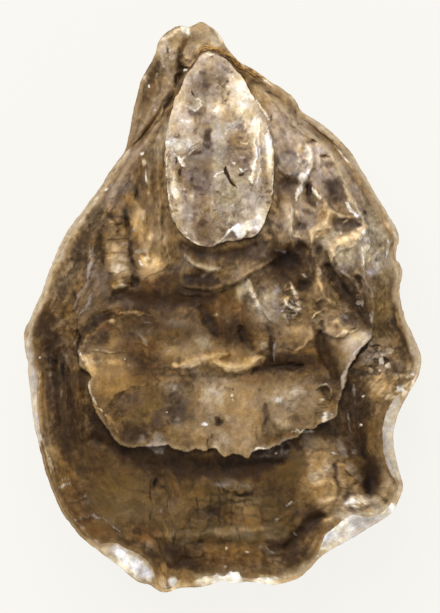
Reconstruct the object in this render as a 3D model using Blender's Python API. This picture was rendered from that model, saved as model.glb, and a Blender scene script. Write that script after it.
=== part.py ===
"""A closed cupped oyster, lying on its deep valve with the flat valve up and the hinge end towards +Y.

Run it with: blender --background --python part.py

Three solids, each its own object: the deep valve below, the flat valve above, and the band of
ligament that joins them behind the flat valve's beak. The shell is shut, so both valves are solid
up to the surface where they meet. Each valve is a sphere of rings and segments that is drawn out
into the shell: its rings become growth lines, from the middle of the valve out to the margin.
"""

import math

import bmesh
import bpy
import numpy as np

mm = 0.001

# Driving dimensions
COMMISSURE_HEIGHT = 20.5 * mm  # the level at which the two valves meet
CUP_DEPTH = 21.6 * mm  # from there down, a little more than the height, so that the cup rests on a flat
BEAK_RISE = 0.45  # how much shallower the cup is under the beak
VALVE_GAP = 0.4 * mm  # the clearance between the two valves
LIGAMENT_RADIUS = 0.4 * mm
LIGAMENT_SPAN = (82, 92)  # the directions between which it runs, in degrees
LIGAMENT_OFFSET = 1.0  # how far its middle is out from the flat valve's margin, in millimetres
LIGAMENT_LIFT = 0.7  # and above the deep valve
SEGMENTS = 96  # facets round each valve
BOX_MIDDLE = (-0.22 * mm, 0.26 * mm)  # the middle of the outlines below, brought to x = y = 0

# Outlines seen from above, in millimetres, anticlockwise from the beak
DEEP_MARGIN = [
    (-4.5, 57.2), (-9.2, 56.3), (-13.1, 53.2), (-13.9, 50.2), (-16.9, 44.6), (-18.9, 34.8),
    (-20.0, 31.3), (-24.6, 24.4), (-31.2, 15.6), (-35.2, 6.3), (-39.8, -5.0), (-38.7, -16.0),
    (-36.3, -29.5), (-32.2, -40.8), (-24.0, -49.2), (-17.0, -54.6), (-12.6, -56.7), (-4.6, -55.7),
    (0.0, -54.6), (9.5, -55.2), (13.4, -54.6), (18.6, -50.6), (27.0, -45.3), (31.6, -42.1),
    (34.9, -39.4), (35.6, -35.0), (33.9, -27.0), (34.3, -22.5), (38.4, -14.8), (39.5, -11.0),
    (37.4, -4.6), (35.2, 2.6), (35.5, 7.8), (34.7, 10.2), (34.9, 14.6), (32.6, 19.0),
    (27.2, 28.4), (22.6, 34.2), (15.6, 39.6), (13.2, 42.8), (6.6, 47.4), (2.5, 49.9),
    (0.5, 52.4), (-1.4, 55.2),
]
# How much of the deep valve shows beyond the flat one: direction in degrees, width in millimetres
RIM_SHOWN = [
    (0, 0.8), (30, 1.1), (50, 1.7), (75, 1.7), (85, 2.2), (90, 4.1), (95, 7.1), (100, 10.0),
    (105, 9.6), (110, 7.6), (115, 3.6), (120, 1.3), (130, 0.8), (180, 0.7), (205, 1.4), (225, 1.0),
    (240, 1.2), (246, 3.4), (254, 4.3), (260, 1.4), (275, 0.9), (291, 1.0), (299, 3.7), (305, 3.5),
    (310, 1.2), (315, 1.2), (320, 3.8), (326, 2.4), (335, 1.3), (345, 0.8),
]
PLATE_EDGE = [
    (-2.7, 50.4), (-5.3, 48.9), (-10.6, 41.4), (-17.2, 31.0), (-24.2, 18.0), (-26.2, 8.0),
    (-28.8, -2.0), (-28.9, -9.2), (-26.6, -13.6), (-26.6, -17.4), (-21.6, -26.2), (-19.6, -27.3),
    (-11.4, -27.2), (-8.0, -28.3), (-2.2, -28.0), (0.4, -29.1), (4.8, -29.4), (9.6, -27.6),
    (18.4, -23.8), (22.6, -20.2), (24.4, -13.6), (29.2, -5.0), (29.6, 0.0), (27.2, 18.0),
    (20.8, 31.0), (10.4, 40.8), (2.6, 47.0), (0.2, 49.0),
]
TONGUE_EDGE = [
    (-2.7, 49.8), (-4.8, 48.5), (-9.2, 41.4), (-11.4, 33.4), (-11.4, 25.6), (-10.0, 17.2),
    (-5.2, 12.6), (-2.2, 12.2), (4.6, 13.6), (8.9, 18.2), (9.9, 25.0), (8.6, 36.0),
    (5.0, 43.3), (2.6, 46.4), (0.0, 48.6),
]
SHELL_MIDDLE = (-0.5, -2.0)  # the point that the margins are measured round
PLATE_MIDDLE = (0.0, 5.0)
TONGUE_MIDDLE = (-1.0, 30.0)
CUP_MIDDLE = (-1.0, -5.0)  # the deepest point of the cup

# Relief of the flat valve above the commissure, in millimetres
PLATE_TOP = 7.3
HINGE_FALL = 3.8  # how far it falls from the middle of the tongue to the beak
PLATE_CAMBER = 1.5  # and from the plate's middle line to its sides
PLATE_HALF_WIDTH = 28
TONGUE_RISE = 2.0  # from the plate up to the tongue's edge
TONGUE_CROWN = 0.9  # from there up to the tongue's middle
SIDE_STEP = 0.5  # the plate's edge above the newer shell, at its sides
FRONT_STEP = 2.8  # and at its front, away from the hinge
MARGIN_TOP = 1.1  # thickness of the flat valve at its margin
# Folds and hollows: the line that each follows, its half width and its height
FOLDS = [
    ([(-22.0, 17.0), (-21.0, 4.5)], 2.3, 1.6),  # outer left fold
    ([(-16.3, 21.0), (-15.0, 6.5)], 2.0, 1.4),  # inner left fold
    ([(-10.0, -9.5), (-3.0, -10.8), (5.0, -11.0)], 2.2, 1.2),  # crest across the plate
    ([(-12.0, -13.8), (10.0, -13.6), (18.0, -12.0)], 1.6, -0.8),  # crease below the crest
    ([(17.0, 32.0), (17.2, 26.0)], 1.6, 0.9),  # crusted ridge
    ([(14.0, 19.5), (14.5, 15.0)], 2.0, 0.8),
    ([(27.0, 16.0), (22.0, 11.5)], 2.0, 1.1),  # right fold
    ([(22.0, 26.0), (23.5, 20.5)], 2.2, -1.0),  # valley behind the right fold
    ([(21.0, 8.0), (27.5, 0.5)], 2.6, -1.4),  # valley in front of it
    ([(8.0, 10.5), (15.0, 10.5)], 3.4, -1.7),  # hollow under the tongue
    ([(-18.0, 1.0), (-2.0, 1.5)], 3.8, -1.3),  # hollow across the middle
    ([(1.0, -5.5), (5.0, -4.5)], 3.4, -1.0),
    ([(7.0, 1.0), (12.0, -1.0)], 3.6, 0.9),
    ([(24.0, -5.0), (28.0, -6.0)], 2.4, 0.7),
]

# The beak of the deep valve, which stands out behind the flat one, in millimetres above the commissure
SHOULDER_HEIGHT = 4.2
CARDINAL_HEIGHT = 1.6
DEEP_MARGIN_TOP = -0.3

# Ring stations, as shares of the way from the middle of each stretch to its edge
TONGUE_SHARES = (0.0, 0.3, 0.55, 0.78, 0.92, 1.0)
PLATE_SHARES = (0.04, 0.16, 0.3, 0.44, 0.58, 0.72, 0.86, 0.95, 1.0)
APRON_SHARES = (0.05, 0.2, 0.36, 0.52, 0.68, 0.84, 1.0)
INNER_SHARES = (1.0, 0.92, 0.8, 0.55, 0.0)  # the hidden face of each valve
BEAK_SHARES = (0.25, 0.5, 0.75, 1.0)  # what the deep valve shows beyond the flat one
CUP_SHARES = (0.985, 0.95, 0.9, 0.83, 0.76, 0.68, 0.6, 0.5, 0.4, 0.25, 0.0)

SHELL_BROWN = (0.22, 0.14, 0.07, 1.0)
CUP_GREY = (0.30, 0.25, 0.19, 1.0)
LIGAMENT_GOLD = (0.45, 0.28, 0.08, 1.0)


def closed_curve(points, steps=16):
    """A smooth closed curve through the points (Catmull-Rom), as an array of x and y."""
    a, b, c, d = (np.roll(points, shift, 0)[:, None, :] for shift in (1, 0, -1, -2))
    t = np.linspace(0, 1, steps, endpoint=False)[None, :, None]
    curve = 0.5 * (2 * b + (c - a) * t + (2 * a - 5 * b + 4 * c - d) * t**2 + (3 * b - a - 3 * c + d) * t**3)
    return curve.reshape(-1, 2)


def bearings(curve, middle):
    """The direction of each point of a curve from its middle, in radians, always rising."""
    return np.unwrap(np.arctan2(curve[:, 1] - middle[1], curve[:, 0] - middle[0]))


def reach(points, middle, turn):
    """How far an outline is from its middle in each direction of the array turn, in millimetres."""
    curve = closed_curve(points)
    radius = np.hypot(curve[:, 0] - middle[0], curve[:, 1] - middle[1])
    return np.interp(turn, bearings(curve, middle), radius, period=2 * math.pi)


def margin_reach(turn, clearance=0.0):
    """How far the flat valve's margin is from the shell's middle, in millimetres, with a clearance round it."""
    direction, width = np.array(RIM_SHOWN).T
    shown = np.interp(np.degrees(turn), direction, width, period=360)
    return reach(DEEP_MARGIN, SHELL_MIDDLE, turn) - shown + clearance


def even_turns(points, middle, count):
    """The directions of points spaced evenly along an outline, so that no stretch is left coarse."""
    curve = closed_curve(points)
    ends = np.vstack([curve, curve[:1]])
    along = np.concatenate([[0], np.cumsum(np.hypot(*np.diff(ends, axis=0).T))])
    turn = bearings(ends, middle)
    return np.interp(np.arange(count) / count * along[-1], along, turn)


TURNS = even_turns(DEEP_MARGIN, SHELL_MIDDLE, SEGMENTS)
DEEP_REACH = reach(DEEP_MARGIN, SHELL_MIDDLE, TURNS)
FLAT_REACH = margin_reach(TURNS)
PLATE_REACH = reach(PLATE_EDGE, PLATE_MIDDLE, TURNS)
TONGUE_REACH = reach(TONGUE_EDGE, TONGUE_MIDDLE, TURNS)


def ring(radius, middle, share=1.0):
    """The points at a share of each radius from the middle, one for each of the turns."""
    return middle[0] + share * radius * np.cos(TURNS), middle[1] + share * radius * np.sin(TURNS)


def commissure(share, turn=TURNS):
    """The height of the surface where the valves meet, above its mean level, at a share of the way out."""
    right = np.clip(np.cos(turn + 0.25), 0, 1)
    return share**3 * (0.9 * right * np.sin(turn * 9) + 0.5 * np.sin(turn * 2 + 0.6))


def distance_to_line(x, y, line):
    """How far each point is from a line of straight stretches, in millimetres."""
    nearest = np.full_like(x, 1e9)
    for (x0, y0), (x1, y1) in zip(line, line[1:]):
        dx, dy = x1 - x0, y1 - y0
        t = np.clip(((x - x0) * dx + (y - y0) * dy) / (dx * dx + dy * dy), 0, 1)
        nearest = np.minimum(nearest, np.hypot(x - x0 - t * dx, y - y0 - t * dy))
    return nearest


def long_profile(y):
    """The flat valve's height along its middle, which falls towards the hinge and a little towards the front."""
    return PLATE_TOP - HINGE_FALL * np.clip((y - 22) / 24, 0, None) ** 2 - 0.04 * np.clip(-12 - y, 0, None)


def plate_height(x, y):
    """The top of the large plate of the flat valve, in millimetres."""
    height = long_profile(y) - PLATE_CAMBER * np.abs(x / PLATE_HALF_WIDTH) ** 2.2
    for line, width, rise in FOLDS:
        height = height + rise * np.exp(-((distance_to_line(x, y, line) / width) ** 2))
    return height


def tongue_height(x, y, share):
    """The top of the raised tongue that runs from the beak, in millimetres."""
    return long_profile(y) + TONGUE_RISE * np.clip((56 - y) / 24, 0.35, 1) + TONGUE_CROWN * (1 - share**2)


def plate_step(turn):
    """How far the plate's edge stands above the newer shell round it: most at the front."""
    front = np.clip(np.cos(turn + math.radians(95)), 0, 1)
    return SIDE_STEP + (FRONT_STEP - SIDE_STEP) * front**0.7


def apron_height(share):
    """The top of the newest shell, from under the plate's edge out to the margin, in millimetres."""
    x, y = ring(PLATE_REACH, PLATE_MIDDLE)
    foot = plate_height(x, y) - plate_step(TURNS)
    waves = 0.35 * np.sin(share * 14) * (1 - share)
    return foot + (MARGIN_TOP - foot) * share**0.9 + waves


def beak_height(x, y, share):
    """The top of the deep valve where it stands out beyond the flat one, in millimetres."""
    shoulder = SHOULDER_HEIGHT * np.exp(-(((x + 11.0) / 3.4) ** 2)) * np.clip((y - 30) / 8, 0, 1)
    cardinal = CARDINAL_HEIGHT * np.exp(-(((x + 3.5) / 5.0) ** 2)) * np.clip((y - 49) / 4, 0, 1)
    return DEEP_MARGIN_TOP + (shoulder + cardinal) * np.sin(math.pi * np.clip(share * 0.8 + 0.15, 0, 1))


def cup_height(y, share):
    """The outside of the cup, at a share of the way out to the margin, shallower towards the beak."""
    depth = (1 - share**2.6) ** 0.62 * (1 - BEAK_RISE * np.clip((y - 6) / 50, 0, 1) ** 1.3)
    steps = 0.25 * np.sin(share * 40) * share
    return DEEP_MARGIN_TOP - CUP_DEPTH / mm * depth + steps


def flat_valve_rings():
    """The rings of the flat valve: from the middle of its top, over the margin, to that of its underside."""
    rings = []
    for share in TONGUE_SHARES:
        x, y = ring(TONGUE_REACH, TONGUE_MIDDLE, share)
        rings.append((x, y, tongue_height(x, y, share)))
    inner, outer = ring(TONGUE_REACH, TONGUE_MIDDLE), ring(PLATE_REACH, PLATE_MIDDLE)
    for share in PLATE_SHARES:
        x, y = (a + (b - a) * share for a, b in zip(inner, outer))
        rings.append((x, y, plate_height(x, y)))
    inner, outer = outer, ring(FLAT_REACH, SHELL_MIDDLE)
    for share in APRON_SHARES:
        x, y = (a + (b - a) * share for a, b in zip(inner, outer))
        rings.append((x, y, apron_height(share) + commissure(1.0) * share))
    for share in INNER_SHARES:
        x, y = ring(FLAT_REACH, SHELL_MIDDLE, share)
        rings.append((x, y, commissure(share) + VALVE_GAP / mm / 2))
    return rings


def deep_valve_rings():
    """The rings of the deep valve: from the middle of its hidden face, over the margin, to the cup's foot."""
    rings = []
    for share in reversed(INNER_SHARES):
        x, y = ring(FLAT_REACH, SHELL_MIDDLE, share)
        rings.append((x, y, commissure(share) - VALVE_GAP / mm / 2))
    inner = ring(margin_reach(TURNS, VALVE_GAP / mm), SHELL_MIDDLE)
    outer = ring(DEEP_REACH, SHELL_MIDDLE)
    for share in BEAK_SHARES:
        x, y = (a + (b - a) * share for a, b in zip(inner, outer))
        rings.append((x, y, commissure(1.0) + beak_height(x, y, share)))
    for share in CUP_SHARES:
        slide = (1 - share) ** 1.2
        x, y = ring(DEEP_REACH, SHELL_MIDDLE, share)
        x, y = x + (CUP_MIDDLE[0] - SHELL_MIDDLE[0]) * slide, y + (CUP_MIDDLE[1] - SHELL_MIDDLE[1]) * slide
        z = commissure(1.0) * share**6 + cup_height(y, share)
        rings.append((x, y, np.maximum(z, -COMMISSURE_HEIGHT / mm)))
    return rings


def in_frame(x, y, z):
    """A point of the outlines, z millimetres above the commissure, in the part's own frame in metres."""
    return x * mm - BOX_MIDDLE[0], y * mm - BOX_MIDDLE[1], z * mm + COMMISSURE_HEIGHT


def wrapped_sphere(name, rings, colour, roughness):
    """A sphere whose rings are drawn out to the given ones, the first and the last at its poles."""
    last = len(rings) - 1
    mesh = bpy.data.meshes.new(name)
    bm = bmesh.new()
    bmesh.ops.create_uvsphere(bm, u_segments=SEGMENTS, v_segments=last, radius=1.0)
    for vert in bm.verts:
        level = round(math.acos(max(-1.0, min(1.0, vert.co.z))) / math.pi * last)
        segment = round(math.atan2(vert.co.y, vert.co.x) / (2 * math.pi) * SEGMENTS) % SEGMENTS
        if level in (0, last):
            vert.co = in_frame(*(float(np.mean(values)) for values in rings[level]))
        else:
            vert.co = in_frame(*(float(values[segment]) for values in rings[level]))
    bm.to_mesh(mesh)
    bm.free()
    mesh.shade_smooth()
    mesh.set_sharp_from_angle(angle=math.radians(50))
    return finished(bpy.data.objects.new(name, mesh), colour, roughness)


def finished(obj, colour, roughness):
    """The object, given a material of its own."""
    material = bpy.data.materials.new(obj.name + "_finish")
    material.use_nodes = True
    shader = material.node_tree.nodes["Principled BSDF"]
    shader.inputs["Base Color"].default_value = colour
    shader.inputs["Roughness"].default_value = roughness
    obj.data.materials.append(material)
    return obj


def ligament():
    """The springy band that joins the valves, lying in the corner behind the flat valve's beak."""
    turns = np.radians(np.linspace(LIGAMENT_SPAN[0], LIGAMENT_SPAN[1], 15))
    radius = margin_reach(turns, LIGAMENT_OFFSET)
    curve = bpy.data.curves.new("ligament", "CURVE")
    curve.dimensions = "3D"
    curve.bevel_depth = LIGAMENT_RADIUS
    curve.bevel_resolution = 2
    curve.use_fill_caps = True
    spline = curve.splines.new("POLY")
    spline.points.add(len(turns) - 1)
    for point, turn, r in zip(spline.points, turns, radius):
        x, y = SHELL_MIDDLE[0] + r * math.cos(turn), SHELL_MIDDLE[1] + r * math.sin(turn)
        z = commissure(1.0, turn) + beak_height(x, y, 0.3) + LIGAMENT_LIFT
        point.co = (*in_frame(x, y, z), 1.0)
    return finished(bpy.data.objects.new("ligament", curve), LIGAMENT_GOLD, 0.5)


def main():
    for obj in list(bpy.data.objects):
        bpy.data.objects.remove(obj)
    oyster = bpy.data.collections.new("oyster")
    bpy.context.scene.collection.children.link(oyster)
    pieces = [
        wrapped_sphere("deep_valve", deep_valve_rings(), CUP_GREY, 0.75),
        wrapped_sphere("flat_valve", flat_valve_rings(), SHELL_BROWN, 0.6),
        ligament(),
    ]
    for piece in pieces:
        oyster.objects.link(piece)


main()
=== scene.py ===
import math

import bmesh
import bpy
import numpy as np
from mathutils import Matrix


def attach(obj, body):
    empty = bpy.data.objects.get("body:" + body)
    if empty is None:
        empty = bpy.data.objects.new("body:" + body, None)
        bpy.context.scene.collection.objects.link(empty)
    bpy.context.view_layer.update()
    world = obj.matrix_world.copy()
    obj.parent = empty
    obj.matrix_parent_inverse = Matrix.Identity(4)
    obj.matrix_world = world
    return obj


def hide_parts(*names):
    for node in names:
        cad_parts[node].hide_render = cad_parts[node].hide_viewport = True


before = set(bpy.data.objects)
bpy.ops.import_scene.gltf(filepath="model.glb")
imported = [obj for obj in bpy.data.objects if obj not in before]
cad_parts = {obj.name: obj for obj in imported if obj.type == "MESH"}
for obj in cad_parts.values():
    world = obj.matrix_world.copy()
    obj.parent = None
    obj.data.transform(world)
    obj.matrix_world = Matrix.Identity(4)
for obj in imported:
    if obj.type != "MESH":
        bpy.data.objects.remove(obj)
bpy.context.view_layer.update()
mm = 0.001

# The outlines and the relief are in millimetres from the drawing's own zero, seen from above with the
# hinge end up. drawingZero is where that zero is in the frame, and seamHeight is the level of the seam.
shell = {
    "drawingZero": (0.22, -0.26),
    "seamHeight": 20.5,
    "middle": (-0.5, -2.0),
    "seamGap": 0.4,
    "outlineSteps": 24,
    "plateTop": 7.3,
    "hingeFall": 3.8,
    "camber": 1.5,
    "marginTop": 1.3,
    "lipTop": 0.55,
}
frameZero = np.array([*shell["drawingZero"], shell["seamHeight"]])
allTurns = np.linspace(-math.pi, math.pi, 4096)


def smooth(low, high, value):
    t = np.clip((value - low) / (high - low), 0, 1)
    return t * t * (3 - 2 * t)


def closedCurve(points, steps):
    a, b, c, d = (np.roll(points, shift, 0)[:, None, :] for shift in (1, 0, -1, -2))
    t = np.linspace(0, 1, steps, endpoint=False)[None, :, None]
    square, cube = 2 * a - 5 * b + 4 * c - d, 3 * b - a - 3 * c + d
    curve = 0.5 * (2 * b + (c - a) * t + square * t**2 + cube * t**3)
    return curve.reshape(-1, 2)


# The random numbers that all the noise is made from.
dice = np.random.default_rng(7).random((256, 256)).astype(np.float32)


def hashed(ix, iy, seed):  # ix and iy are whole numbers
    return dice[(iy + 57 * seed) & 255, (ix + 131 * seed) & 255]


def noise(x, y, seed=0):  # smooth noise between 0 and 1, about one blob to a unit
    ix, iy = np.floor(x).astype(int), np.floor(y).astype(int)
    fx, fy = x - ix, y - iy
    fx, fy = fx * fx * (3 - 2 * fx), fy * fy * (3 - 2 * fy)
    low = hashed(ix, iy, seed) * (1 - fx) + hashed(ix + 1, iy, seed) * fx
    high = hashed(ix, iy + 1, seed) * (1 - fx) + hashed(ix + 1, iy + 1, seed) * fx
    return low * (1 - fy) + high * fy


def fractal(x, y, size, octaves=4, seed=0, rough=0.5):  # between -1 and 1, the largest blobs size mm wide
    total, weight, most = np.zeros_like(x), 1.0, 0.0
    for k in range(octaves):
        f = 2.0**k / size
        total = total + weight * (2 * noise(x * f + 17.3 * k, y * f - 9.1 * k, seed + k) - 1)
        most += weight
        weight *= rough
    return total / most * 1.6


def chips(x, y, size, seed=0):
    # how far the nearest border between chips is, in chip widths, and each chip's own value, 0 to 1
    x, y = x / size, y / size
    ix, iy = np.floor(x).astype(int), np.floor(y).astype(int)
    nearest, second, value = np.full_like(x, 9.0), np.full_like(x, 9.0), np.zeros_like(x)
    for dx in (-1, 0, 1):
        for dy in (-1, 0, 1):
            cx = ix + dx + hashed(ix + dx, iy + dy, seed)
            cy = iy + dy + hashed(ix + dx, iy + dy, seed + 5)
            d = np.hypot(x - cx, y - cy)
            value = np.where(d < nearest, hashed(ix + dx, iy + dy, seed + 9), value)
            second = np.minimum(second, np.maximum(nearest, d))
            nearest = np.minimum(nearest, d)
    return second - nearest, value


def lineDistance(x, y, line):
    # distance to a bent line with its left side positive, how far along it (0 to 1), and the plain distance
    line = np.array(line, float)
    lengths = np.hypot(*np.diff(line, axis=0).T)
    start = np.concatenate([[0], np.cumsum(lengths)])
    best, signed, along = np.full_like(x, 1e9), np.zeros_like(x), np.zeros_like(x)
    for k, ((x0, y0), (x1, y1)) in enumerate(zip(line, line[1:])):
        dx, dy = x1 - x0, y1 - y0
        t = ((x - x0) * dx + (y - y0) * dy) / (dx * dx + dy * dy)
        tc = np.clip(t, 0, 1)
        d = np.hypot(x - x0 - tc * dx, y - y0 - tc * dy)
        side = np.sign(dx * (y - y0) - dy * (x - x0))
        near = d < best
        best = np.where(near, d, best)
        signed = np.where(near, d * side, signed)
        along = np.where(near, (start[k] + tc * lengths[k]) / start[-1], along)
    return signed, along, best


def ragged(x, y, amount=1.0, seed=3):  # the same places, pushed about a little, for uneven edges
    dx = 0.75 * fractal(x, y, 2.6, 3, seed) + 0.25 * fractal(x, y, 0.8, 2, seed + 9)
    dy = 0.75 * fractal(x, y, 2.6, 3, seed + 20) + 0.25 * fractal(x, y, 0.8, 2, seed + 29)
    return x + amount * dx, y + amount * dy


def nearLine(x, y, line, room):  # the places inside a line's box, widened by room
    xs, ys = [p[0] for p in line], [p[1] for p in line]
    return (x > min(xs) - room) & (x < max(xs) + room) & (y > min(ys) - room) & (y < max(ys) + room)


# A mark is a stroke, (line, half width, amount), or a spot, (x, y, half width, half height, turn, amount).
# A spot that isn't turned leaves out the turn, and a round one has one radius: (x, y, radius, amount).

def spread(x, y, mark, soft=False):  # the strength of one mark at each place
    stroke = len(mark) == 3
    if stroke:
        line, width, amount = mark
    else:
        cx, cy, rx, *rest, amount = mark
        ry = rest[0] if rest else rx
        a = math.radians(rest[1]) if len(rest) > 1 else 0.0
        line, width = [(cx, cy)], max(rx, ry)
    near = nearLine(x, y, line, (2.4 if soft else 1.6) * width)
    result = np.zeros_like(x)
    if not near.any():
        return result
    px, py = x[near], y[near]
    if stroke:
        along, d = lineDistance(px, py, line)[1:]
        ends = smooth(-0.1, 0.3, along) * smooth(-0.1, 0.3, 1 - along)
        d = d / width / (0.3 + 0.7 * ends) / (1 + 0.4 * fractal(px, py, 1.7, 2, 5))
    else:
        dx, dy = px - cx, py - cy
        across, up = dx * math.cos(a) + dy * math.sin(a), dy * math.cos(a) - dx * math.sin(a)
        d = np.hypot(across / rx, up / ry)
    result[near] = amount * (np.exp(-d * d) if soft else 1 - smooth(0.35, 1.55, d))
    return result


def raised(x, y, marks):  # bumps and ridges, added up
    total = np.zeros_like(x)
    for mark in marks:
        total += spread(x, y, mark, soft=True)
    return total


def ledges(x, y, marks):
    # the edges of shell layers: (line, drop, how far back it fades), high on the left of the line
    total = np.zeros_like(x)
    for line, drop, back in marks:
        near = nearLine(x, y, line, 5 * back)
        if near.any():
            signed, along, d = lineDistance(x[near], y[near], line)
            taper = smooth(0, 0.12, along) * smooth(0, 0.12, 1 - along)
            fade = np.exp(-np.clip(signed, 0, None) / back) * (1 - smooth(3.6 * back, 5 * back, d))
            total[near] += drop * taper * fade * smooth(-0.14, 0.14, signed)
    return total


def tinted(x, y, marks):  # how strong a tint is at each place, 0 to 1
    clear = np.ones_like(x)
    for mark in marks:
        clear *= 1 - spread(x, y, mark)
    return 1 - clear


# The outlines, each one closed.

deepMargin = [
    (-4.5, 57.2), (-6.8, 56.3), (-9.2, 56.4), (-11.6, 55.1), (-13.1, 53.2), (-13.6, 51), (-14.6, 49),
    (-16.4, 45.8), (-16.9, 44.2), (-18, 39.5), (-18.8, 35), (-19.9, 31.3), (-22.5, 27.8), (-24.4, 24.6),
    (-28.2, 19.6), (-31.2, 15.4), (-33.8, 10.2), (-35.4, 5.8), (-36.6, 2.4), (-38.6, -2), (-39.8, -4.8),
    (-39.7, -7.4), (-39.1, -11), (-38.6, -16), (-37.8, -23), (-36.3, -29.5), (-34.7, -35), (-32.3, -40.6),
    (-28.6, -45.4), (-25.2, -48.2), (-22, -50.6), (-20, -52.2), (-17.2, -54.5), (-14.8, -55.3),
    (-12.6, -56.6), (-10.6, -56.5), (-8.8, -55.9), (-4.6, -55.7), (-1.6, -54.9), (0, -54.3), (1.6, -55),
    (3.4, -54.9), (5, -54.6), (7.2, -54.9), (9.8, -55.2), (13.4, -54.5), (15.6, -53.5), (17.4, -51.8),
    (19.2, -49.8), (22.6, -47.6), (27, -45.2), (30.6, -42.9), (33.6, -41), (35, -38.6), (35.9, -35.6),
    (34.9, -31.8), (34, -27.4), (34.1, -23.6), (35.3, -20), (37.2, -16.4), (39, -13.6), (39.5, -10.6),
    (39, -8), (37.4, -4.6), (36.1, -1.4), (35.2, 2.4), (35.1, 4.4), (35.6, 6.8), (35.3, 8.8), (34.5, 10),
    (34.7, 12.4), (35.1, 13.4), (34.7, 15.6), (33, 18.6), (29.8, 23.8), (27.2, 28.2), (25.2, 31.4),
    (22.4, 34.4), (19.6, 36.8), (15.8, 39.3), (14.8, 41), (13.4, 42.7), (11.2, 44.2), (9.8, 45.1),
    (7.2, 47), (4.6, 48.6), (2.5, 49.8), (0.6, 52.2), (-0.6, 54.5), (-2.4, 56),
]
flatMargin = [
    (-2.7, 51.2), (-5, 50), (-6.9, 47.8), (-8.4, 45.8), (-9.5, 44.2), (-10.7, 42.8), (-12.3, 41.2),
    (-13.4, 38.8), (-15.4, 36), (-17.4, 33.6), (-19.6, 31), (-22, 27.2), (-24, 24), (-27.5, 19.4),
    (-30.5, 15.1), (-33, 10), (-34.7, 5.5), (-36, 2.2), (-37.9, -2.1), (-39, -4.9), (-38.8, -7.3),
    (-37.5, -11), (-37, -14.5), (-37.3, -18), (-36.8, -23), (-35.5, -29.3), (-33.9, -34.7),
    (-31.6, -40.2), (-28, -44.7), (-25.4, -46.8), (-22.9, -46.9), (-20.6, -47.1), (-17.8, -48.8),
    (-15.6, -50.1), (-14.4, -51.4), (-13.7, -53.2), (-12.8, -55), (-11.6, -56.1), (-10, -55.6),
    (-8.6, -54), (-6.2, -54.3), (-3.4, -53.4), (-1.6, -53.2), (0, -53.6), (1.2, -52.8), (3, -52.7),
    (3.8, -54.1), (6.2, -54), (8.4, -53.6), (10.8, -54), (13, -53.8), (15.2, -52.9), (17, -51.3),
    (18.7, -49.2), (19.8, -46.8), (21, -44.6), (23.6, -42.6), (25.8, -41.3), (28, -41.7), (31, -41.3),
    (33, -39.9), (34.4, -37.8), (35, -35.6), (33.6, -33.4), (32.3, -30), (31.8, -26), (32.1, -22.4),
    (33.6, -18.9), (36, -16.3), (38.2, -13.7), (38.7, -10.8), (38.3, -8.3), (36.8, -4.8), (35.5, -1.3),
    (34.6, 2.4), (34.6, 4.6), (35, 6.8), (34.6, 8.4), (33.8, 10), (34, 12.4), (34.3, 13.4), (33.9, 15.1),
    (32.2, 18), (29, 23.2), (26.3, 27.6), (24.3, 30.6), (21.6, 33.6), (18.9, 35.9), (15.2, 38.6),
    (14, 40.4), (12.6, 42.1), (10.7, 43.3), (8.7, 44.5), (5.6, 46.4), (3, 47.8), (1, 49.8),
]
plateEdge = [
    (-2.7, 50.6), (-5.4, 49), (-8.2, 45.2), (-10.4, 41.4), (-13.2, 36.9), (-16.8, 31.4), (-20.6, 24.8),
    (-24, 18.2), (-25.8, 13), (-26.3, 8), (-27.4, 3), (-28.7, -2), (-28.4, -5.4), (-28.8, -7.4),
    (-28.5, -9.6), (-28.2, -11.4), (-26.4, -13.1), (-26.6, -15), (-26.4, -17.6), (-25.2, -20.4),
    (-23.8, -22.8), (-22, -25.4), (-20.2, -27.2), (-17.8, -27.4), (-15, -27.3), (-12.6, -27.2),
    (-11, -26.8), (-9.6, -28), (-7.6, -28.4), (-5.6, -27.8), (-4, -28.3), (-1.7, -27.8), (-0.6, -28.8),
    (0.4, -29.3), (2, -28.7), (3.8, -29.3), (4.8, -29.5), (6, -28.2), (7.8, -27.7), (9.4, -27.6),
    (12, -26.4), (14.8, -25.4), (16, -24.2), (18.2, -23.8), (19, -22.9), (21.3, -21.9), (22.3, -21.3),
    (22.6, -19.4), (23.4, -16.8), (24.2, -15), (24.4, -12.6), (25.6, -10.2), (27.3, -7.9), (28.4, -6.6),
    (29.3, -5), (29.6, 0), (28.8, 5), (28.2, 10), (28, 15), (26.4, 20), (24.2, 25), (21.4, 30),
    (16.2, 35.4), (10.4, 40.8), (6.2, 44.6), (2.7, 47.2), (0.4, 49.6),
]
tongueEdge = [
    (-2.7, 51.2), (-4.6, 50.2), (-6.2, 48.2), (-7.4, 46.4), (-8.6, 43.6), (-9.6, 41.4), (-10.4, 38.5),
    (-11, 35.6), (-11.4, 33), (-11.7, 29.6), (-11.4, 26), (-11, 22), (-10.5, 19), (-9.6, 17),
    (-8.2, 14.8), (-6.4, 13.2), (-4.4, 12.5), (-2.4, 12.1), (-0.6, 13), (1.4, 13.4), (3.8, 13.7),
    (6.2, 14.5), (7.6, 16), (8.6, 18.4), (9.7, 21.8), (9.8, 25), (9.9, 28.5), (9.8, 32), (8.9, 35.6),
    (7.4, 39.2), (5.4, 43), (4.2, 45.4), (2.6, 47.4), (0.2, 49.8),
]


def reachTable(points, middle=shell["middle"], jag=0.0, seed=0):
    # distance from the middle in each direction, with an uneven edge of that size
    curve = closedCurve(points, shell["outlineSteps"])
    dx, dy = curve[:, 0] - middle[0], curve[:, 1] - middle[1]
    turn, radius = np.arctan2(dy, dx), np.hypot(dx, dy)
    order = np.argsort(turn)
    table = np.interp(allTurns, turn[order], radius[order], period=2 * math.pi)
    px, py = atTurns(middle, allTurns, table)
    return table + jag * (fractal(px, py, 2.2, 3, seed) + 0.5 * fractal(px, py, 0.7, 2, seed + 7))


def atTurns(middle, turns, radii):
    return middle[0] + radii * np.cos(turns), middle[1] + radii * np.sin(turns)


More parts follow.
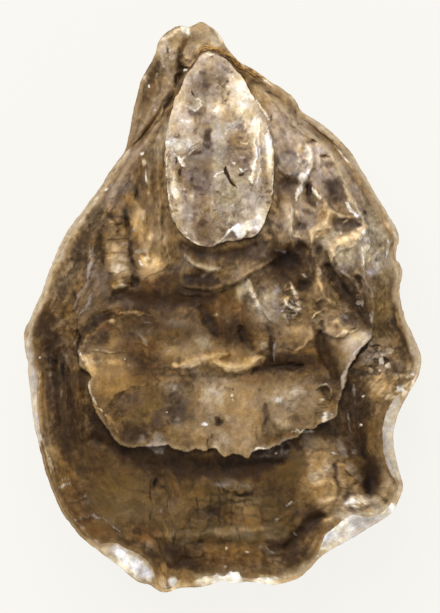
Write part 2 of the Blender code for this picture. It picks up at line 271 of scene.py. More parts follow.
def reach(table, turn):
    return np.interp(turn, allTurns, table, period=2 * math.pi)


def polar(x, y, middle=shell["middle"]):
    return np.hypot(x - middle[0], y - middle[1]), np.arctan2(y - middle[1], x - middle[0])


def evenTurns(table, count):
    # directions spaced evenly along an outline, starting at the left, where the table starts
    steps = np.hypot(np.diff(table * np.cos(allTurns)), np.diff(table * np.sin(allTurns)))
    along = np.concatenate([[0], np.cumsum(steps)])
    return np.interp(np.arange(count) / count * along[-1], along, allTurns)


tongueMiddle = (-1.0, 30.0)
deepReach = reachTable(deepMargin, jag=0.10, seed=40)
flatReach = np.minimum(reachTable(flatMargin, jag=0.16, seed=41), deepReach - 0.35)
plateReach = np.minimum(reachTable(plateEdge, jag=0.22, seed=42), flatReach - 0.35)
tongueReach = reachTable(tongueEdge, tongueMiddle, jag=0.16, seed=43)


# The relief: the amount of a mark is its rise in millimetres, and a ledge's is its drop.

flatRelief = {
    "raised": [
        # left folds
        ([(-9.9, 43.4), (-10.6, 41.8), (-11.5, 40.2), (-12.7, 38.2), (-13.9, 36.4)], 0.5, -0.9),
        ([(-10.6, 43.2), (-11.7, 41.2), (-13.1, 38.6), (-15.2, 35.7), (-17.2, 33.3)], 0.45, 0.4),
        ([(-22.2, 17), (-21.5, 12), (-20.9, 8), (-20.2, 4.8)], 1.7, 1.3),
        ([(-17, 20.5), (-16.2, 14), (-14.8, 9.6)], 1.5, 1.2), (-14.4, 8.4, 2.2, 0.5), ([(-19.2, 18),
        (-18.2, 12), (-17.9, 8.6), (-18.2, 4.6)], 0.7, -0.75), ([(-25.2, 16), (-24.9, 11), (-23.4, 5),
        (-22.4, 1)], 0.9, -0.25), ([(-26.4, 13), (-26.2, 8), (-27.6, 4), (-29.4, 0.2), (-30, -6),
        (-28.8, -9.6)], 0.7, 0.6), ([(-24.9, 8.5), (-25.2, 5), (-25.9, 2.8), (-27.2, 0)], 0.8, 0.5),
        (-17.6, 5.4, 1.1, 1.4, -0.8), ([(-14.9, 29), (-14.8, 22)], 0.6, 0.4),
        ([(-12.9, 32), (-12.6, 14)], 0.6, 0.45), ([(-13.8, 31), (-13.6, 16)], 0.4, -0.35),
        ([(-11.9, 33), (-11.8, 16)], 0.35, -0.3), ([(-10.6, 15), (-9.6, 11), (-8, 9.6)], 0.6, 0.35),
        ([(-12.4, 12.6), (-11, 8.6)], 0.5, 0.3), (-20, 24.8, 2.4, 3.4, -30, 0.7),
        ([(-16.4, 33), (-16, 28), (-17.2, 22)], 0.6, -0.5),
        # dark trough below the folds
        (-12, 1.2, 9, 1.9, -0.5), (-20.6, 1.8, 3.4, 1.5, -0.9), (-24, 0.4, 2.2, 1.6, 20, -0.6),
        ([(-22.5, -0.6), (-25.6, -2.2), (-27.8, -4.6), (-28.4, -7)], 1, -0.6), ([(-21.5, -1.2),
        (-19, -0.8), (-16.4, -0.7), (-14, -1.6)], 0.4, 0.4), (-22.2, -2.5, 0.75, 0.8, 0.9),
        (-23, -6, 5, 2.6, 0.5), (-24, -13, 3, 5, 15, 0.6), (-16, -12, 3, 2, -0.5),
        ([(-17.4, -4.6), (-16, -6.2), (-15.4, -7.6)], 0.3, 0.35), (-9.6, -3, 2.6, 1, 0.3),
        # middle
        ([(-10, -11.6), (-6.4, -11.3), (-4.2, -10.2), (-1.6, -9.2), (1, -8.9)], 0.9, 0.9),
        ([(-2.2, -10.4), (0.3, -11.5), (2.6, -11.9), (5.2, -11), (7.2, -9.9)], 0.8, 1.1), ([(-11, -13.4),
        (-5, -13.7), (0, -13.5), (5.5, -12.9)], 0.9, -0.45),
        ([(6, -12.4), (10, -11.6), (15.5, -11.2)], 1.1, -1),
        ([(-4.6, 0.6), (-3, -2), (-1.2, -4.8)], 1.2, -0.6),
        ([(3.2, -3.6), (4.2, -6), (5.6, -8.2)], 1, -0.7), (1.2, -3.2, 1.6, 1.8, 0.3),
        (9, -4.4, 1, 1.3, -0.8), ([(9.4, -5.6), (9.6, -8), (9.5, -10.6)], 0.35, -0.6),
        ([(10.2, -6.6), (9.9, -10)], 0.25, 0.35), (-3.8, -6.6, 2.2, 1.4, 0.4), ([(-8, 12.6), (-5, 10.9),
        (-1, 10.4), (3, 11.2), (6, 12.6)], 1.1, -0.8), ([(-7.6, 10.2), (-5.6, 8.7), (-3, 7.7),
        (-0.8, 7.9), (2.6, 8.2)], 0.5, 0.5), (-4.4, 5.9, 3.4, 1.2, 4, -0.9),
        ([(0.6, 6.9), (4, 8.4), (8, 10.4)], 1.2, 0.5), (13, 9.6, 3.2, 2.8, -20, -1.9),
        (15.4, 12.2, 1.4, 1, -30, -1), ([(5, 5.6), (5.7, 3.5), (6.6, 1.5), (7.9, -0.5), (9.4, -2.4)],
        0.6, 0.9), (4, 3.8, 1.4, 2.2, -20, 0.5), (9.4, 1.4, 1.8, 2.2, 0.3),
        ([(13.4, 5.8), (13.7, 4.4), (14.4, 2.4)], 0.26, 0.7), (16, 4.8, 1.6, 1.4, -1),
        ([(14.6, 6.9), (16, 6.8), (17.4, 6.1)], 0.2, 0.4), (12.6, 4.6, 0.5, 0.8, 0.4),
        ([(12.2, 1.9), (12.5, 0.9), (13.8, 0.1)], 0.35, 0.6),
        ([(13.1, 1.9), (14.2, 0.8), (15.4, 0.1)], 0.25, 0.5), (15, -0.4, 0.8, 0.5, 15, 0.4),
        ([(12.3, -1.2), (12.5, -2.2), (12.7, -3.3)], 0.4, 0.7),
        ([(11.4, -0.4), (12.6, -0.5), (14.2, -0.6)], 0.2, 0.3), (14.9, 1.4, 0.8, 0.7, -0.4),
        (14.6, -5, 2, 1.2, 0.6), ([(17.2, -3.4), (17.2, -5.6), (15.8, -7.6)], 0.5, 0.6),
        (8, -7.2, 0.9, 0.5), ([(16.4, 12.6), (16.3, 9.6), (17.2, 7.7), (17.4, 6.8)], 0.2, 0.4),
        ([(18.6, 9.6), (18.8, 7), (18.9, 4.6), (20, 2.4)], 0.9, 0.6),
        ([(17.6, -1.6), (18.3, -0.7), (19.6, -0.2)], 0.3, 0.5), ([(18.2, 1.4), (19.6, 2.2), (21, 1.4),
        (22.4, 0.8)], 0.5, 0.6), ([(18.2, -1.2), (19.4, -1.9), (19.6, -3.4)], 0.4, -0.6),
        (22, -3.5, 2.2, 1.7, -5, 0.9), (25, -2.2, 1.4, 0.9, -30, -0.8), (26.4, -6.6, 2.8, 1.8, 30, 0.6),
        ([(19.1, -4.6), (19.4, -8), (20.6, -11), (22.8, -14)], 1, -0.9), (22.8, -10.6, 1.6, 2.4, 20, 0.5),
        # right folds
        ([(6.4, 41.6), (7.6, 39.8), (9.3, 37.6)], 0.35, 0.45),
        ([(8, 44), (11, 38), (16, 33.6)], 0.5, 0.3), ([(9.5, 41.5), (13.5, 37), (17.5, 33.8)], 0.4, 0.4),
        ([(11.5, 42), (15.5, 38), (19.5, 34.5)], 0.4, 0.35),
        ([(8.6, 37.2), (11, 33.6), (12.6, 32)], 0.35, 0.4), ([(10.4, 36), (13.5, 32.8)], 0.35, 0.4),
        ([(10.2, 31.6), (10.4, 26), (11.2, 21)], 0.4, -0.4), ([(24.8, 29), (27.4, 23.6), (29.2, 17.5),
        (30, 12)], 0.5, 0.4), ([(26.2, 28), (29, 22.5), (31, 16)], 0.35, -0.4),
        ([(22.8, 31.6), (25.6, 26.6), (27.6, 21)], 0.35, -0.4), ([(9.4, 38.4), (12.4, 34.6)], 0.4, -0.3),
        ([(13.6, 37.4), (15.6, 36.8)], 0.4, -0.3), ([(16.6, 33.2), (18.4, 33.1)], 0.35, -0.4),
        (12.8, 29, 2.2, 2.5, 0.7), (12.8, 30.9, 0.6, 0.5, -0.5), (12.8, 24.2, 2, 1.5, -1), ([(15.2, 32),
        (16.6, 32.2), (17.3, 30.6), (17.4, 28.4), (17, 27.2)], 0.55, 1.1), (15, 29.2, 0.5, 0.6),
        (15.7, 25.8, 0.75, 1, -35, 1), ([(15, 24.6), (14.7, 22)], 0.4, 0.7), (20.3, 30.2, 1, 0.6, -0.6),
        (20.5, 28.5, 1, 0.6, -0.4), ([(19, 31.4), (19, 28), (19.6, 26.6)], 0.35, 0.5),
        ([(21.6, 30.4), (21.8, 27.6)], 0.35, 0.4), ([(17.6, 24), (18.6, 22.4), (19.4, 21.3)], 0.4, 0.7),
        (16.9, 23.6, 0.8, 1.9, 5, -1.3), (17.3, 21, 0.9, 0.4, -20, -0.5),
        (21.8, 23.7, 1.7, 3.1, 35, -1.7), (20.6, 34, 0.5, 1, 30, -0.4), ([(21.8, 29.4), (23.5, 26),
        (25, 21.8), (27.4, 18.5)], 0.6, 1), ([(19.8, 21), (21.4, 19.2), (23.4, 18), (26, 18.1),
        (27.8, 18.1)], 0.45, 0.8), ([(20.8, 16.5), (24, 16.6), (26.8, 16.5)], 1.1, -0.8),
        (24.6, 13.7, 3, 1.1, 14, 0.9), ([(27.8, 17.6), (28, 16.2), (27.5, 14.9), (26.4, 13.6)], 0.5, 0.7),
        ([(22.4, 12.6), (21.5, 11.2), (21.3, 9.6), (21.9, 8.2)], 0.7, 0.8), (23, 10, 1.8, 2, 0.5),
        ([(27.5, 11.8), (27.9, 9.9), (27.8, 8.2)], 0.4, 0.6), (26.6, 10.8, 0.9, 1.3, -0.4),
        ([(20.2, 20.7), (20.9, 18.5), (20.8, 16.8), (19.4, 15.6), (17.6, 14.9), (17.2, 13.4),
        (17.2, 12.2)], 0.8, 1.1), (18.8, 11.6, 0.7, 1.4, -0.9), ([(18, 14.4), (19.2, 15.2)], 0.2, -0.6),
        ([(13.4, 20.4), (13.6, 18.5), (13.2, 16.2), (13.6, 14.6), (15, 13.8)], 0.5, 0.95),
        (15.6, 16.3, 1.4, 1.2, -0.9), (16.6, 19, 1.9, 0.6, -22, -0.6),
        ([(11.4, 22), (11.6, 15)], 0.6, -0.3), (26.4, 7.6, 1.4, 1.2, -0.5), ([(20.4, 8.4), (22.4, 5.6),
        (24.4, 3), (27.4, -1)], 1.5, -1.1), ([(23.5, 7.3), (25.6, 5.8), (27.2, 3.4), (27.8, 0.7)],
        0.5, 0.5), ([(26.4, 7), (27.8, 6.6), (29.2, 3.8), (30, 2.2)], 0.45, 0.5),
        ([(26.6, 6), (27.6, 4.4)], 0.6, -0.6), (24.3, 10.9, 0.7, 1, -0.4), (22.4, 8.5, 0.5, -0.5),
        ([(29.6, 3), (29.8, -3.6)], 0.4, 0.3), ([(33.6, 3), (34, -1), (36, -5), (37, -8.6)], 0.7, -0.9),
        ([(32.9, 13.8), (32.7, 10.8)], 0.35, 0.4), (34.2, 13.1, 0.7, 0.5, -0.7),
        (34.6, 5.8, 0.7, 0.4, -0.5),
        # front of the middle layer
        (12, -17.6, 2.4, 1.6, 0.5), (11.6, -22.4, 2, 2.4, 0.5), (-0.7, -22.6, 0.9, -0.8),
        (-8.4, -19.4, 1.4, 2.2, -0.4), ([(8.2, -19), (8.7, -21.6), (8, -24.6)], 0.5, -0.5),
        ([(-2.4, -25), (-2.6, -28)], 0.6, -0.5), (-13.4, -22, 1, 2, -0.4),
        ([(-6.4, -14), (-6.2, -27)], 0.5, -0.25), ([(5.6, -23), (5.8, -28)], 0.5, -0.25),
        (-8.6, -24.6, 2, 2.4, 0.35), (3, -26, 1.8, 3, 0.35), (0, -27, 1.4, 2, 0.3),
        (-4.6, -26, 1.4, 2, 0.3), ([(18.4, -16.4), (19, -15.2), (20.4, -15.2), (21.3, -16.6),
        (20.8, -18)], 0.3, 0.5), (19.6, -16.4, 1, 0.7, -0.4), (19.4, -18, 1, 0.5, 10, 0.5),
        (14.8, -22, 1.6, 0.8, -0.5), ([(13.8, -23.8), (16.4, -24.2), (18.2, -24.2)], 0.25, 0.4),
        # newest growth, front
        ([(-26, -26), (-14, -31), (0, -31.6), (12, -30.4)], 1.8, -0.6), (3.6, -35.2, 3, 1.4, 0.6),
        (-6, -35.4, 2.4, 1, 0.3), ([(-14, -45.4), (-4, -44.8), (4, -44.6), (12, -43.4)], 1, 0.5),
        ([(-12, -46.9), (-2, -46.9), (2.4, -46.7), (9, -46.8)], 0.6, -0.25), (-2.6, -40.6, 2, 0.9, -0.5),
        (-6.8, -42.6, 1.8, 0.9, -0.5), (-13.4, -34.4, 0.6, 1.8, -0.4), (-8, -50, 1.6, 0.7, -0.4),
        ([(12, -47.8), (14.6, -45.6), (16.6, -43), (20, -41.4)], 1.4, -1.2),
        (14.6, -44.9, 0.25, 0.8, 30, 0.3), ([(9.3, -42.4), (11.4, -41.7), (12.6, -40.6)], 0.22, 0.4),
        ([(12.6, -39.6), (13.6, -38.8), (15, -38.2)], 0.22, 0.4),
        ([(17, -49.6), (18.4, -47.4), (20.4, -46.2)], 0.9, 0.5), (29.6, -34, 1.7, 3.6, -1.8),
        (28.4, -25, 1.6, 6, -0.9), (25, -21.4, 2.4, 3, -0.5), (20, -32.6, 3.6, 4, 20, 0.9),
        (20.4, -38.4, 2.6, 1, 15, 0.6), (24.4, -34.6, 1.2, 1.8, 20, 0.5), ([(22, -30.6), (22.4, -33.4),
        (23.4, -36.4), (22.6, -38.6)], 0.5, -0.6), (23.6, -28, 1, 1.8, 15, 0.6),
        ([(23.4, -30.8), (25.6, -32.6)], 0.5, 0.5), ([(27, -34.6), (25, -37)], 0.6, -0.5),
        (27.4, -38.8, 3.2, 1.1, 8, 0.7), (32.6, -35.6, 1.3, 1.6, 0.7), (31.8, -38.6, 0.7, 0.6, -0.5),
        (29.4, -9, 2.6, 1.6, 30, 0.5), (31.4, -15.6, 2, 1.4, 0.5), (35, -14, 1, 0.8, 0.4),
        (36.6, -13.6, 0.8, 0.7, 0.4), (33.4, -17.6, 1.8, 0.8, 0.5),
        # newest growth, left
        ([(-35, 1), (-36.4, -3.4), (-37.4, -5.6)], 1.2, -0.8), (-34, -4, 0.9, 0.6, 30, 0.5),
        (-32.6, -7.4, 1.4, 1, 0.4), ([(-31, -12), (-30.6, -20), (-29.4, -28)], 0.4, -0.4),
        ([(-33.6, -10), (-33.6, -20), (-32, -30)], 0.5, -0.4),
        ([(-28.8, -12), (-29.4, -19), (-28, -26)], 0.5, 0.4),
        ([(-35.8, -12), (-35.6, -20), (-34.4, -28)], 0.5, 0.4), ([(-27.6, -11.4), (-28, -18)], 0.6, -0.6),
        (-28.2, -38.2, 1.4, 1.2, -0.4), (-30.6, -35.4, 1.2, 0.8, -20, -0.3),
    ],
    "ledges": [
        # left folds
        ([(-24.6, 19.4), (-22.4, 18.8), (-20, 19.4)], 0.4, 1),
        ([(-24.4, 17.6), (-21.6, 16.8), (-19.6, 17.4)], 0.5, 1),
        ([(-23.8, 13.9), (-21, 13.5), (-19, 13.9)], 0.4, 1),
        ([(-24, 11.3), (-21, 10.9), (-18.8, 11.1)], 0.25, 0.8),
        ([(-23.2, 7.1), (-20.8, 6.9), (-18.8, 7.6)], 0.5, 1),
        ([(-22.6, 5.2), (-20.8, 5), (-19.4, 5.6)], 0.3, 0.8),
        ([(-22, 3), (-20.4, 3.5), (-18.8, 4.7)], 0.3, 1), ([(-16.6, 4.9), (-15.2, 6.2), (-12.8, 7.6),
        (-9.8, 8.8)], 0.25, 1.2), ([(-24.2, -20.4), (-22.4, -18.6), (-20.6, -17), (-18.4, -15.6),
        (-14, -14.8)], 0.22, 1.6), ([(-26.4, -8.4), (-23, -8.8), (-19.6, -8.6)], 0.3, 1.2),
        # middle
        ([(-9.2, 4.8), (-6.6, 3.9), (-2.6, 3.7), (0, 4.4), (2.4, 5), (4.2, 6.2), (6, 7.4), (8.4, 8.8),
        (11.6, 10.6)], 1, 2.6), ([(-7.6, 9.4), (-5, 8.1), (-2.4, 7.4), (-0.4, 7.1)], 0.6, 1),
        ([(2.8, -4.8), (3.9, -2.8), (3, -1.4)], 0.3, 0.8), ([(-9.6, 3.2), (-6.6, 2.5), (-4, 2.5),
        (-1, 3.2), (1.5, 4.2), (4, 5.8), (6.2, 7.2)], 0.4, 1.4), ([(19.8, -4.4), (22, -5.8), (23.6, -5.4),
        (25, -4.2), (26.6, -3.6)], 0.7, 1.2), ([(11, -7.2), (14, -8.6), (16.6, -7.6)], 0.4, 1.2),
        ([(16.8, 2.2), (18.4, 1.4), (20, 1.8), (21.8, 0.4), (23.4, -0.4)], 0.5, 1),
        ([(17, -2.6), (18.4, -3.2), (19.6, -2)], 0.4, 0.8),
        # right folds
        ([(10.6, 28.8), (11.2, 27.1), (12.2, 26.4), (13.6, 26.2), (14.6, 27), (15, 28.4)], 0.7, 1.4),
        ([(21.4, 9.6), (22.8, 11.2), (25, 12), (27.5, 13.4)], 0.7, 1),
        ([(18.6, 18), (19.8, 19.6), (21.4, 20.4)], 0.3, 1),
        ([(24.4, 21.8), (24.8, 20), (27.6, 18)], 0.4, 0.8),
        ([(14, 14), (15.6, 13.4), (16.6, 12)], 0.6, 1),
        # front of the middle layer
        ([(13.4, -23.4), (15.4, -23.8), (18.2, -23.6)], 0.4, 1),
        ([(18.2, -18.6), (19, -19.7), (21.4, -19.4)], 0.3, 1),
        ([(17.8, -21), (20, -20.4), (20.9, -21.8)], 0.35, 1),
        # newest growth
        ([(-0.8, -35.4), (0.8, -36.4), (2.2, -35.9), (3.2, -37), (5.2, -37), (6.2, -35.6)], 0.8, 1.6),
        ([(-9, -38.2), (-4, -38.4), (1.6, -38.6), (5, -37.8), (8.4, -38.2)], 0.35, 1.4),
        ([(-8.8, -43.6), (-7, -43.9), (-4.8, -44)], 0.35, 1), ([(-9, -49), (-6.4, -49.6), (-4.2, -49.2),
        (-3.8, -50.4)], 0.35, 1.2), ([(-3.8, -50.2), (-1, -49.9), (0.6, -50.6)], 0.3, 1), ([(7, -48.6),
        (8.4, -49.6), (10.4, -49), (11.4, -50.2)], 0.35, 1), ([(-28.8, -37), (-30.1, -36.7),
        (-30.5, -35.3), (-32, -35.5), (-33.4, -36.2)], 0.3, 1.2), ([(-32.2, -39.1), (-29.7, -38.5),
        (-27.4, -37.6)], 0.4, 1.2), ([(-29.6, -42.6), (-27.1, -41.6), (-25.7, -41.2), (-24, -42),
        (-21.7, -44.1), (-19.8, -44.9)], 0.4, 1.4),
        ([(-30.2, -44.2), (-27.8, -44.4), (-26.4, -43.8)], 0.35, 1),
        ([(-26.4, -46.6), (-24.6, -47.4), (-23, -47.8)], 0.35, 1), ([(-20.4, -46), (-17.6, -47.4),
        (-14, -48.4), (-10, -51)], 0.5, 1.2), ([(-29.4, -36.6), (-28, -37), (-27.4, -36)], 0.3, 0.8),
        ([(22.4, -29.6), (24, -30.4), (25, -29.4)], 0.5, 1.2),
        ([(24, -32.6), (25.6, -33.4), (26.6, -32.4)], 0.5, 1.2),
        ([(16.6, -30), (18, -28.4), (20, -27.6)], 0.4, 1.6),
        ([(29.2, -7.6), (31.2, -7.9), (33, -7.4)], 0.4, 0.8),
        ([(30.4, -8.9), (32, -9.3), (33.6, -9)], 0.4, 0.8),
        ([(31, -9.9), (32.4, -10.4), (33.7, -10.3)], 0.4, 0.8),
        ([(25, -11.6), (26.8, -12.2), (28.6, -11.2)], 0.4, 1),
        ([(24.2, -13.6), (26.2, -13.8), (27.6, -13)], 0.3, 0.8),
    ],
}
tongueRelief = {
    "raised": [
        ([(0.3, 28), (0.7, 26.6), (1.3, 25.4), (2.3, 24.2)], 0.3, -0.5), (3, 30.4, 2, 2.4, 0.3),
        (-3.4, 34, 1, 1.8, -0.3), (-5, 28, 2.6, 3.6, -0.25),
        ([(4, 38.9), (2.4, 37), (0.8, 35.8)], 0.45, 0.35), (-8.8, 32.6, 2, 0.3), (3.4, 15, 1.2, 1.1, 0.4),
        (3.9, 42.4, 1, 3.4, 14, 0.3), (-4, 45, 1.6, 1.2, -0.2), (-6, 39.2, 1.6, 0.8, -0.25),
        ([(-7.4, 40.7), (-6.9, 40), (-5.6, 39.5), (-4.5, 39.9)], 0.25, 0.3),
        ([(-9.2, 31), (-8.6, 29), (-8.2, 28)], 0.35, 0.3),
        ([(6.2, 38), (6, 33.4), (6.4, 28), (5.5, 23.4)], 0.5, 0.35), ([(7.4, 37), (7.4, 29)], 0.2, -0.3),
        ([(8.6, 36), (9.4, 32), (9.5, 27), (9.3, 21.6)], 0.6, 0.35),
        ([(-11.2, 29), (-10.9, 23), (-10.6, 19.6)], 0.4, 0.3), (-9, 26.4, 0.7, 1.6, -0.3),
        ([(-2, 26), (-1.2, 26.7), (-0.4, 26.9)], 0.3, 0.3), (-1.3, 22.6, 0.5, -0.2),
        ([(3.1, 27.7), (3.8, 27.3), (4.8, 27.5)], 0.25, 0.3),
        ([(-6.2, 43.8), (-5.9, 42.6), (-5.3, 41.6)], 0.2, -0.2),
    ],
    "ledges": [
        ([(-2.2, 12.3), (0, 13.8), (2.2, 15.6)], 0.35, 1),
        ([(1.8, 20.2), (2.8, 20.8), (3.8, 21.6)], 0.2, 0.8),
        ([(-7, 31.4), (-6, 32), (-4.6, 32.5)], 0.3, 1), ([(-8, 24), (-6, 24.4), (-3, 23.2)], 0.2, 1),
    ],
}
crumbly = [  # where the surface is broken into small chips
    (35.6, -15.2, 3.4, 2.6, 30, 1), (30.6, -11, 4, 3.6, 0.8), (30, 12.6, 3, 4, 10, 0.55),
    (13.6, 0.6, 2.4, 3.6, 0.8), (12.4, 6.2, 2, 0.9, -10, 0.7), (16.4, 28.6, 1.6, 3.6, 0.8),
    (14.2, 17, 1.6, 3, 0.6), (26.8, -39.2, 4.6, 1.8, 8, 0.6), (19.6, -33, 3, 5, 15, 0.4),
    (20, -17.6, 1.8, 2.2, 0.6), (26.4, -19, 2, 5, 0.25), (-29.4, 8.6, 3, 5, -20, 0.6),
    (-25.6, 20, 2.6, 5, -30, 0.5), (-33.4, -9.6, 3, 3.6, 0.7), (-11, 46.6, 2.6, 4, 0.5),
    (-15.6, 40, 2, 5, -15, 0.4), (31.6, 2, 2, 5, 0.5), (11, -28, 2.6, 1.2, 0.7), (22, -2.4, 2.6, 2, 0.4),
    (5.6, 2.4, 2, 3, 0.4), (18, 1, 2, 2.6, 0.5), (-20, 25, 3, 4.4, -30, 0.4), (28, 24, 2, 5, 25, 0.4),
    (-2, -16, 5, 3, 0.3), (12.4, -19, 3, 4, 0.3), (8.6, 14.2, 2, 1.6, 0.6), (1, -49, 6, 2.6, 0.4),
    (-28.6, -42, 3, 0.4), (-12, -52, 2, 3, 0.4),
]
roughness = [  # how rough the surface is, over a smoother ground
    ([(-23, 26), (-27.6, 18), (-31, 9), (-34, 1), (-35, -6)], 3.4, 1), (-33, -10, 3.4, 6, 0.8),
    ([(27, 22), (30.6, 13), (31.4, 4), (31, -4), (30, -11)], 2.6, 0.8), (33, -15, 4, 3.4, 1),
    (27, -17, 2.4, 6, 1), (26, -27, 3, 6, 0.8), (20, -33, 4, 6, 20, 0.7), (28, -39, 3.6, 1.6, 8, 0.9),
    (14, 2, 4, 5, 0.5), (15.6, 26, 2.4, 6, 0.4), (-21.4, 18, 3, 2, 0.5), (10, -28.6, 4, 1.6, 0.8),
    (-8, -49, 4, 2.4, 0.4), (-32, -28, 2.4, 8, 0.4),
]


# How high each layer stands in millimetres, and how strong its own folds, grit and steps are.
tongueForm = {
    "step": 0.15,
    "frontStep": 0.75,
    "crown": 1.5,
    "frontCrown": -0.6,
    "roundness": 2.4,
    "grit": 0.20,
}
flatForm = {"grit": 0.10, "roughGrit": 0.16, "pits": 0.22, "chipSize": 1.1, "chip": 0.34, "crack": 0.2}
plateForm = {"fluteTurns": 1.15, "flutes": 0.10, "tuck": 0.35, "edge": 0.5, "step": 0.7, "frontStep": 1.3}
apronForm = {
    "foot": 0.3,
    "lineGap": 1.3,
    "lines": 0.05,
    "sideLines": 0.12,
    "slabLong": 2.4,
    "slabWide": 3.6,
    "slab": 0.12,
    "slabCrack": 0.12,
}
beakForm = {
    "level": -0.3,
    "shoulder": 2.6,
    "innerFall": 4.6,
    "outerFall": 0.8,
    "ridge": 1.7,
    "ridgeWidth": 3.4,
}
seamForm = {"rightWaves": 0.9, "roundWaves": 0.5}


def plateBase(x, y):
    fall = shell["hingeFall"] * np.clip((y - 22) / 24, 0, None) ** 2 + 0.04 * np.clip(-12 - y, 0, None)
    return shell["plateTop"] - fall - shell["camber"] * np.abs(x / 28) ** 2.2


def flatDetail(x, y):  # what the plate and the newest growth share: folds, ledges, pits and grit
    wx, wy = ragged(x, y, 0.4, 11)
    detail = raised(wx, wy, flatRelief["raised"]) + ledges(wx, wy, flatRelief["ledges"])
    rough = tinted(x, y, roughness)
    detail += (flatForm["grit"] + flatForm["roughGrit"] * rough) * fractal(x, y, 2.4, 5, 62, 0.6)
    detail += rough * flatForm["pits"] * (1 - np.abs(fractal(x, y, 1.5, 4, 58, 0.6)))
    value, crack = crumbs(x, y)
    return detail + flatForm["chip"] * value - flatForm["crack"] * crack


def crumbs(x, y):  # small chips: each one's own value (-1 to 1), and how near a crack between them is
    zone = tinted(x, y, crumbly)
    value, crack = np.zeros_like(x), np.zeros_like(x)
    near = zone > 0.02
    wx, wy = ragged(x[near], y[near], 0.5, 16)
    border, own = chips(wx, wy, flatForm["chipSize"], 44)
    value[near], crack[near] = (2 * own - 1) * zone[near], (1 - smooth(0.0, 0.22, border)) * zone[near]
    return value, crack


def plateAlone(x, y):
    height = plateBase(x, y) + flatDetail(x, y)
    flutes = np.sin(x * plateForm["fluteTurns"] + 1.4 * fractal(x, y, 7, 2, 61))
    return height + plateForm["flutes"] * flutes * smooth(-17, -25, y)


def plateHeight(x, y):
    # towards the sides and the hinge the plate runs down into the newest growth, in front it stands over it
    r, turn = polar(x, y)
    depth = reach(plateReach, turn) - r
    blend = frontShare(turn)
    tucked = apronHeight(x, y) - plateForm["tuck"] + plateForm["edge"] * smooth(0.6, 3.0, depth)
    join = smooth(4.5, 0.8, depth) * (1 - blend)
    return plateAlone(x, y) * (1 - join) + tucked * join


def tongueHeight(x, y):
    r, turn = polar(x, y, tongueMiddle)
    share = r / reach(tongueReach, turn)
    # only the front rim stands clear of the plate
    front = smooth(30, 14, y) * smooth(1.2, 0.0, np.abs(turn + 1.4))
    crown = tongueForm["crown"] + tongueForm["frontCrown"] * front
    rise = tongueForm["step"] + tongueForm["frontStep"] * front
    rise = rise + crown * (1 - share ** tongueForm["roundness"])
    wx, wy = ragged(x, y, 0.3, 12)
    height = plateBase(x, y) + rise
    height = height + raised(wx, wy, tongueRelief["raised"]) + ledges(wx, wy, tongueRelief["ledges"])
    return height + tongueForm["grit"] * fractal(x, y, 2.8, 5, 63, 0.6)


def frontShare(turn):  # 1 where the plate stands over the newest growth, 0 at the sides and the hinge
    front = np.degrees(np.abs(np.arctan2(np.sin(turn + math.radians(93)), np.cos(turn + math.radians(93)))))
    return 1 - smooth(80, 102, front)


def plateStep(turn):
    front = np.clip(np.cos(turn + math.radians(95)), 0, 1)
    return plateForm["step"] + plateForm["frontStep"] * front**0.8


def apronHeight(x, y):
    r, turn = polar(x, y)
    inner, outer = reach(plateReach, turn), reach(flatReach, turn)
    front, depth = frontShare(turn), outer - r
    foot = plateBase(*atTurns(shell["middle"], turn, inner)) - plateStep(turn) * front - apronForm["foot"]
    share = np.clip((r - inner) / (outer - inner), 0, 1)
    height = foot + (shell["marginTop"] - foot) * (share**0.9 * front + share**1.15 * (1 - front))
    height += flatDetail(x, y) * (0.35 + 0.65 * smooth(0.0, 2.0, depth))
    # growth lines along the margin, rougher at the sides than at the front
    lines = (depth + 1.4 * fractal(x, y, 8, 3, 65)) / apronForm["lineGap"]
    side = smooth(0.2, 0.75, np.abs(np.cos(turn)))
    shown = smooth(2.2, 3.4, depth) * smooth(-0.4, 0.5, fractal(x, y, 6, 2, 68))
    height += (apronForm["lines"] + apronForm["sideLines"] * side) * (lines - np.floor(lines)) * shown
    value, crack = slabs(x, y, depth)
    height += apronForm["slab"] * value - apronForm["slabCrack"] * crack
    return shell["lipTop"] + (height - shell["lipTop"]) * smooth(-0.3, 2.2, depth)


def slabs(x, y, depth):
    # the front of the newest growth is cracked into rough slabs: each one's own value (-1 to 1), and how
    # near a crack is
    long, wide = apronForm["slabLong"], apronForm["slabWide"]
    wx, wy = ragged(x, y, 0.7, 15)
    row = (depth + wy - y) / long
    near = np.floor(row).astype(int)
    column = wx / wide + 3.0 * hashed(near, near, 91)
    value = 2 * hashed(near, np.floor(column).astype(int), 92) - 1
    toRow, toColumn = np.abs(row - np.rint(row)) * long, np.abs(column - np.rint(column)) * wide
    kept = smooth(0.35, 0.6, hashed(near, np.floor(column + 0.5).astype(int), 93))
    crack = np.maximum(1 - smooth(0.05, 0.4, toRow), (1 - smooth(0.05, 0.35, toColumn)) * kept)
    zone = smooth(-33, -36, y) * smooth(1.4, 3.0, depth) * smooth(-25, -19, x) * (1 - smooth(14, 19, x))
    return value * zone, crack * zone * smooth(-0.2, 0.5, fractal(x, y, 5, 2, 94))


def seamLift(turn):  # the seam's own waves, most on the right
    right = np.clip(np.cos(turn + 0.25), 0, 1)
    waves = seamForm["rightWaves"] * right * np.sin(turn * 9)
    return waves + seamForm["roundWaves"] * np.sin(turn * 2 + 0.6)


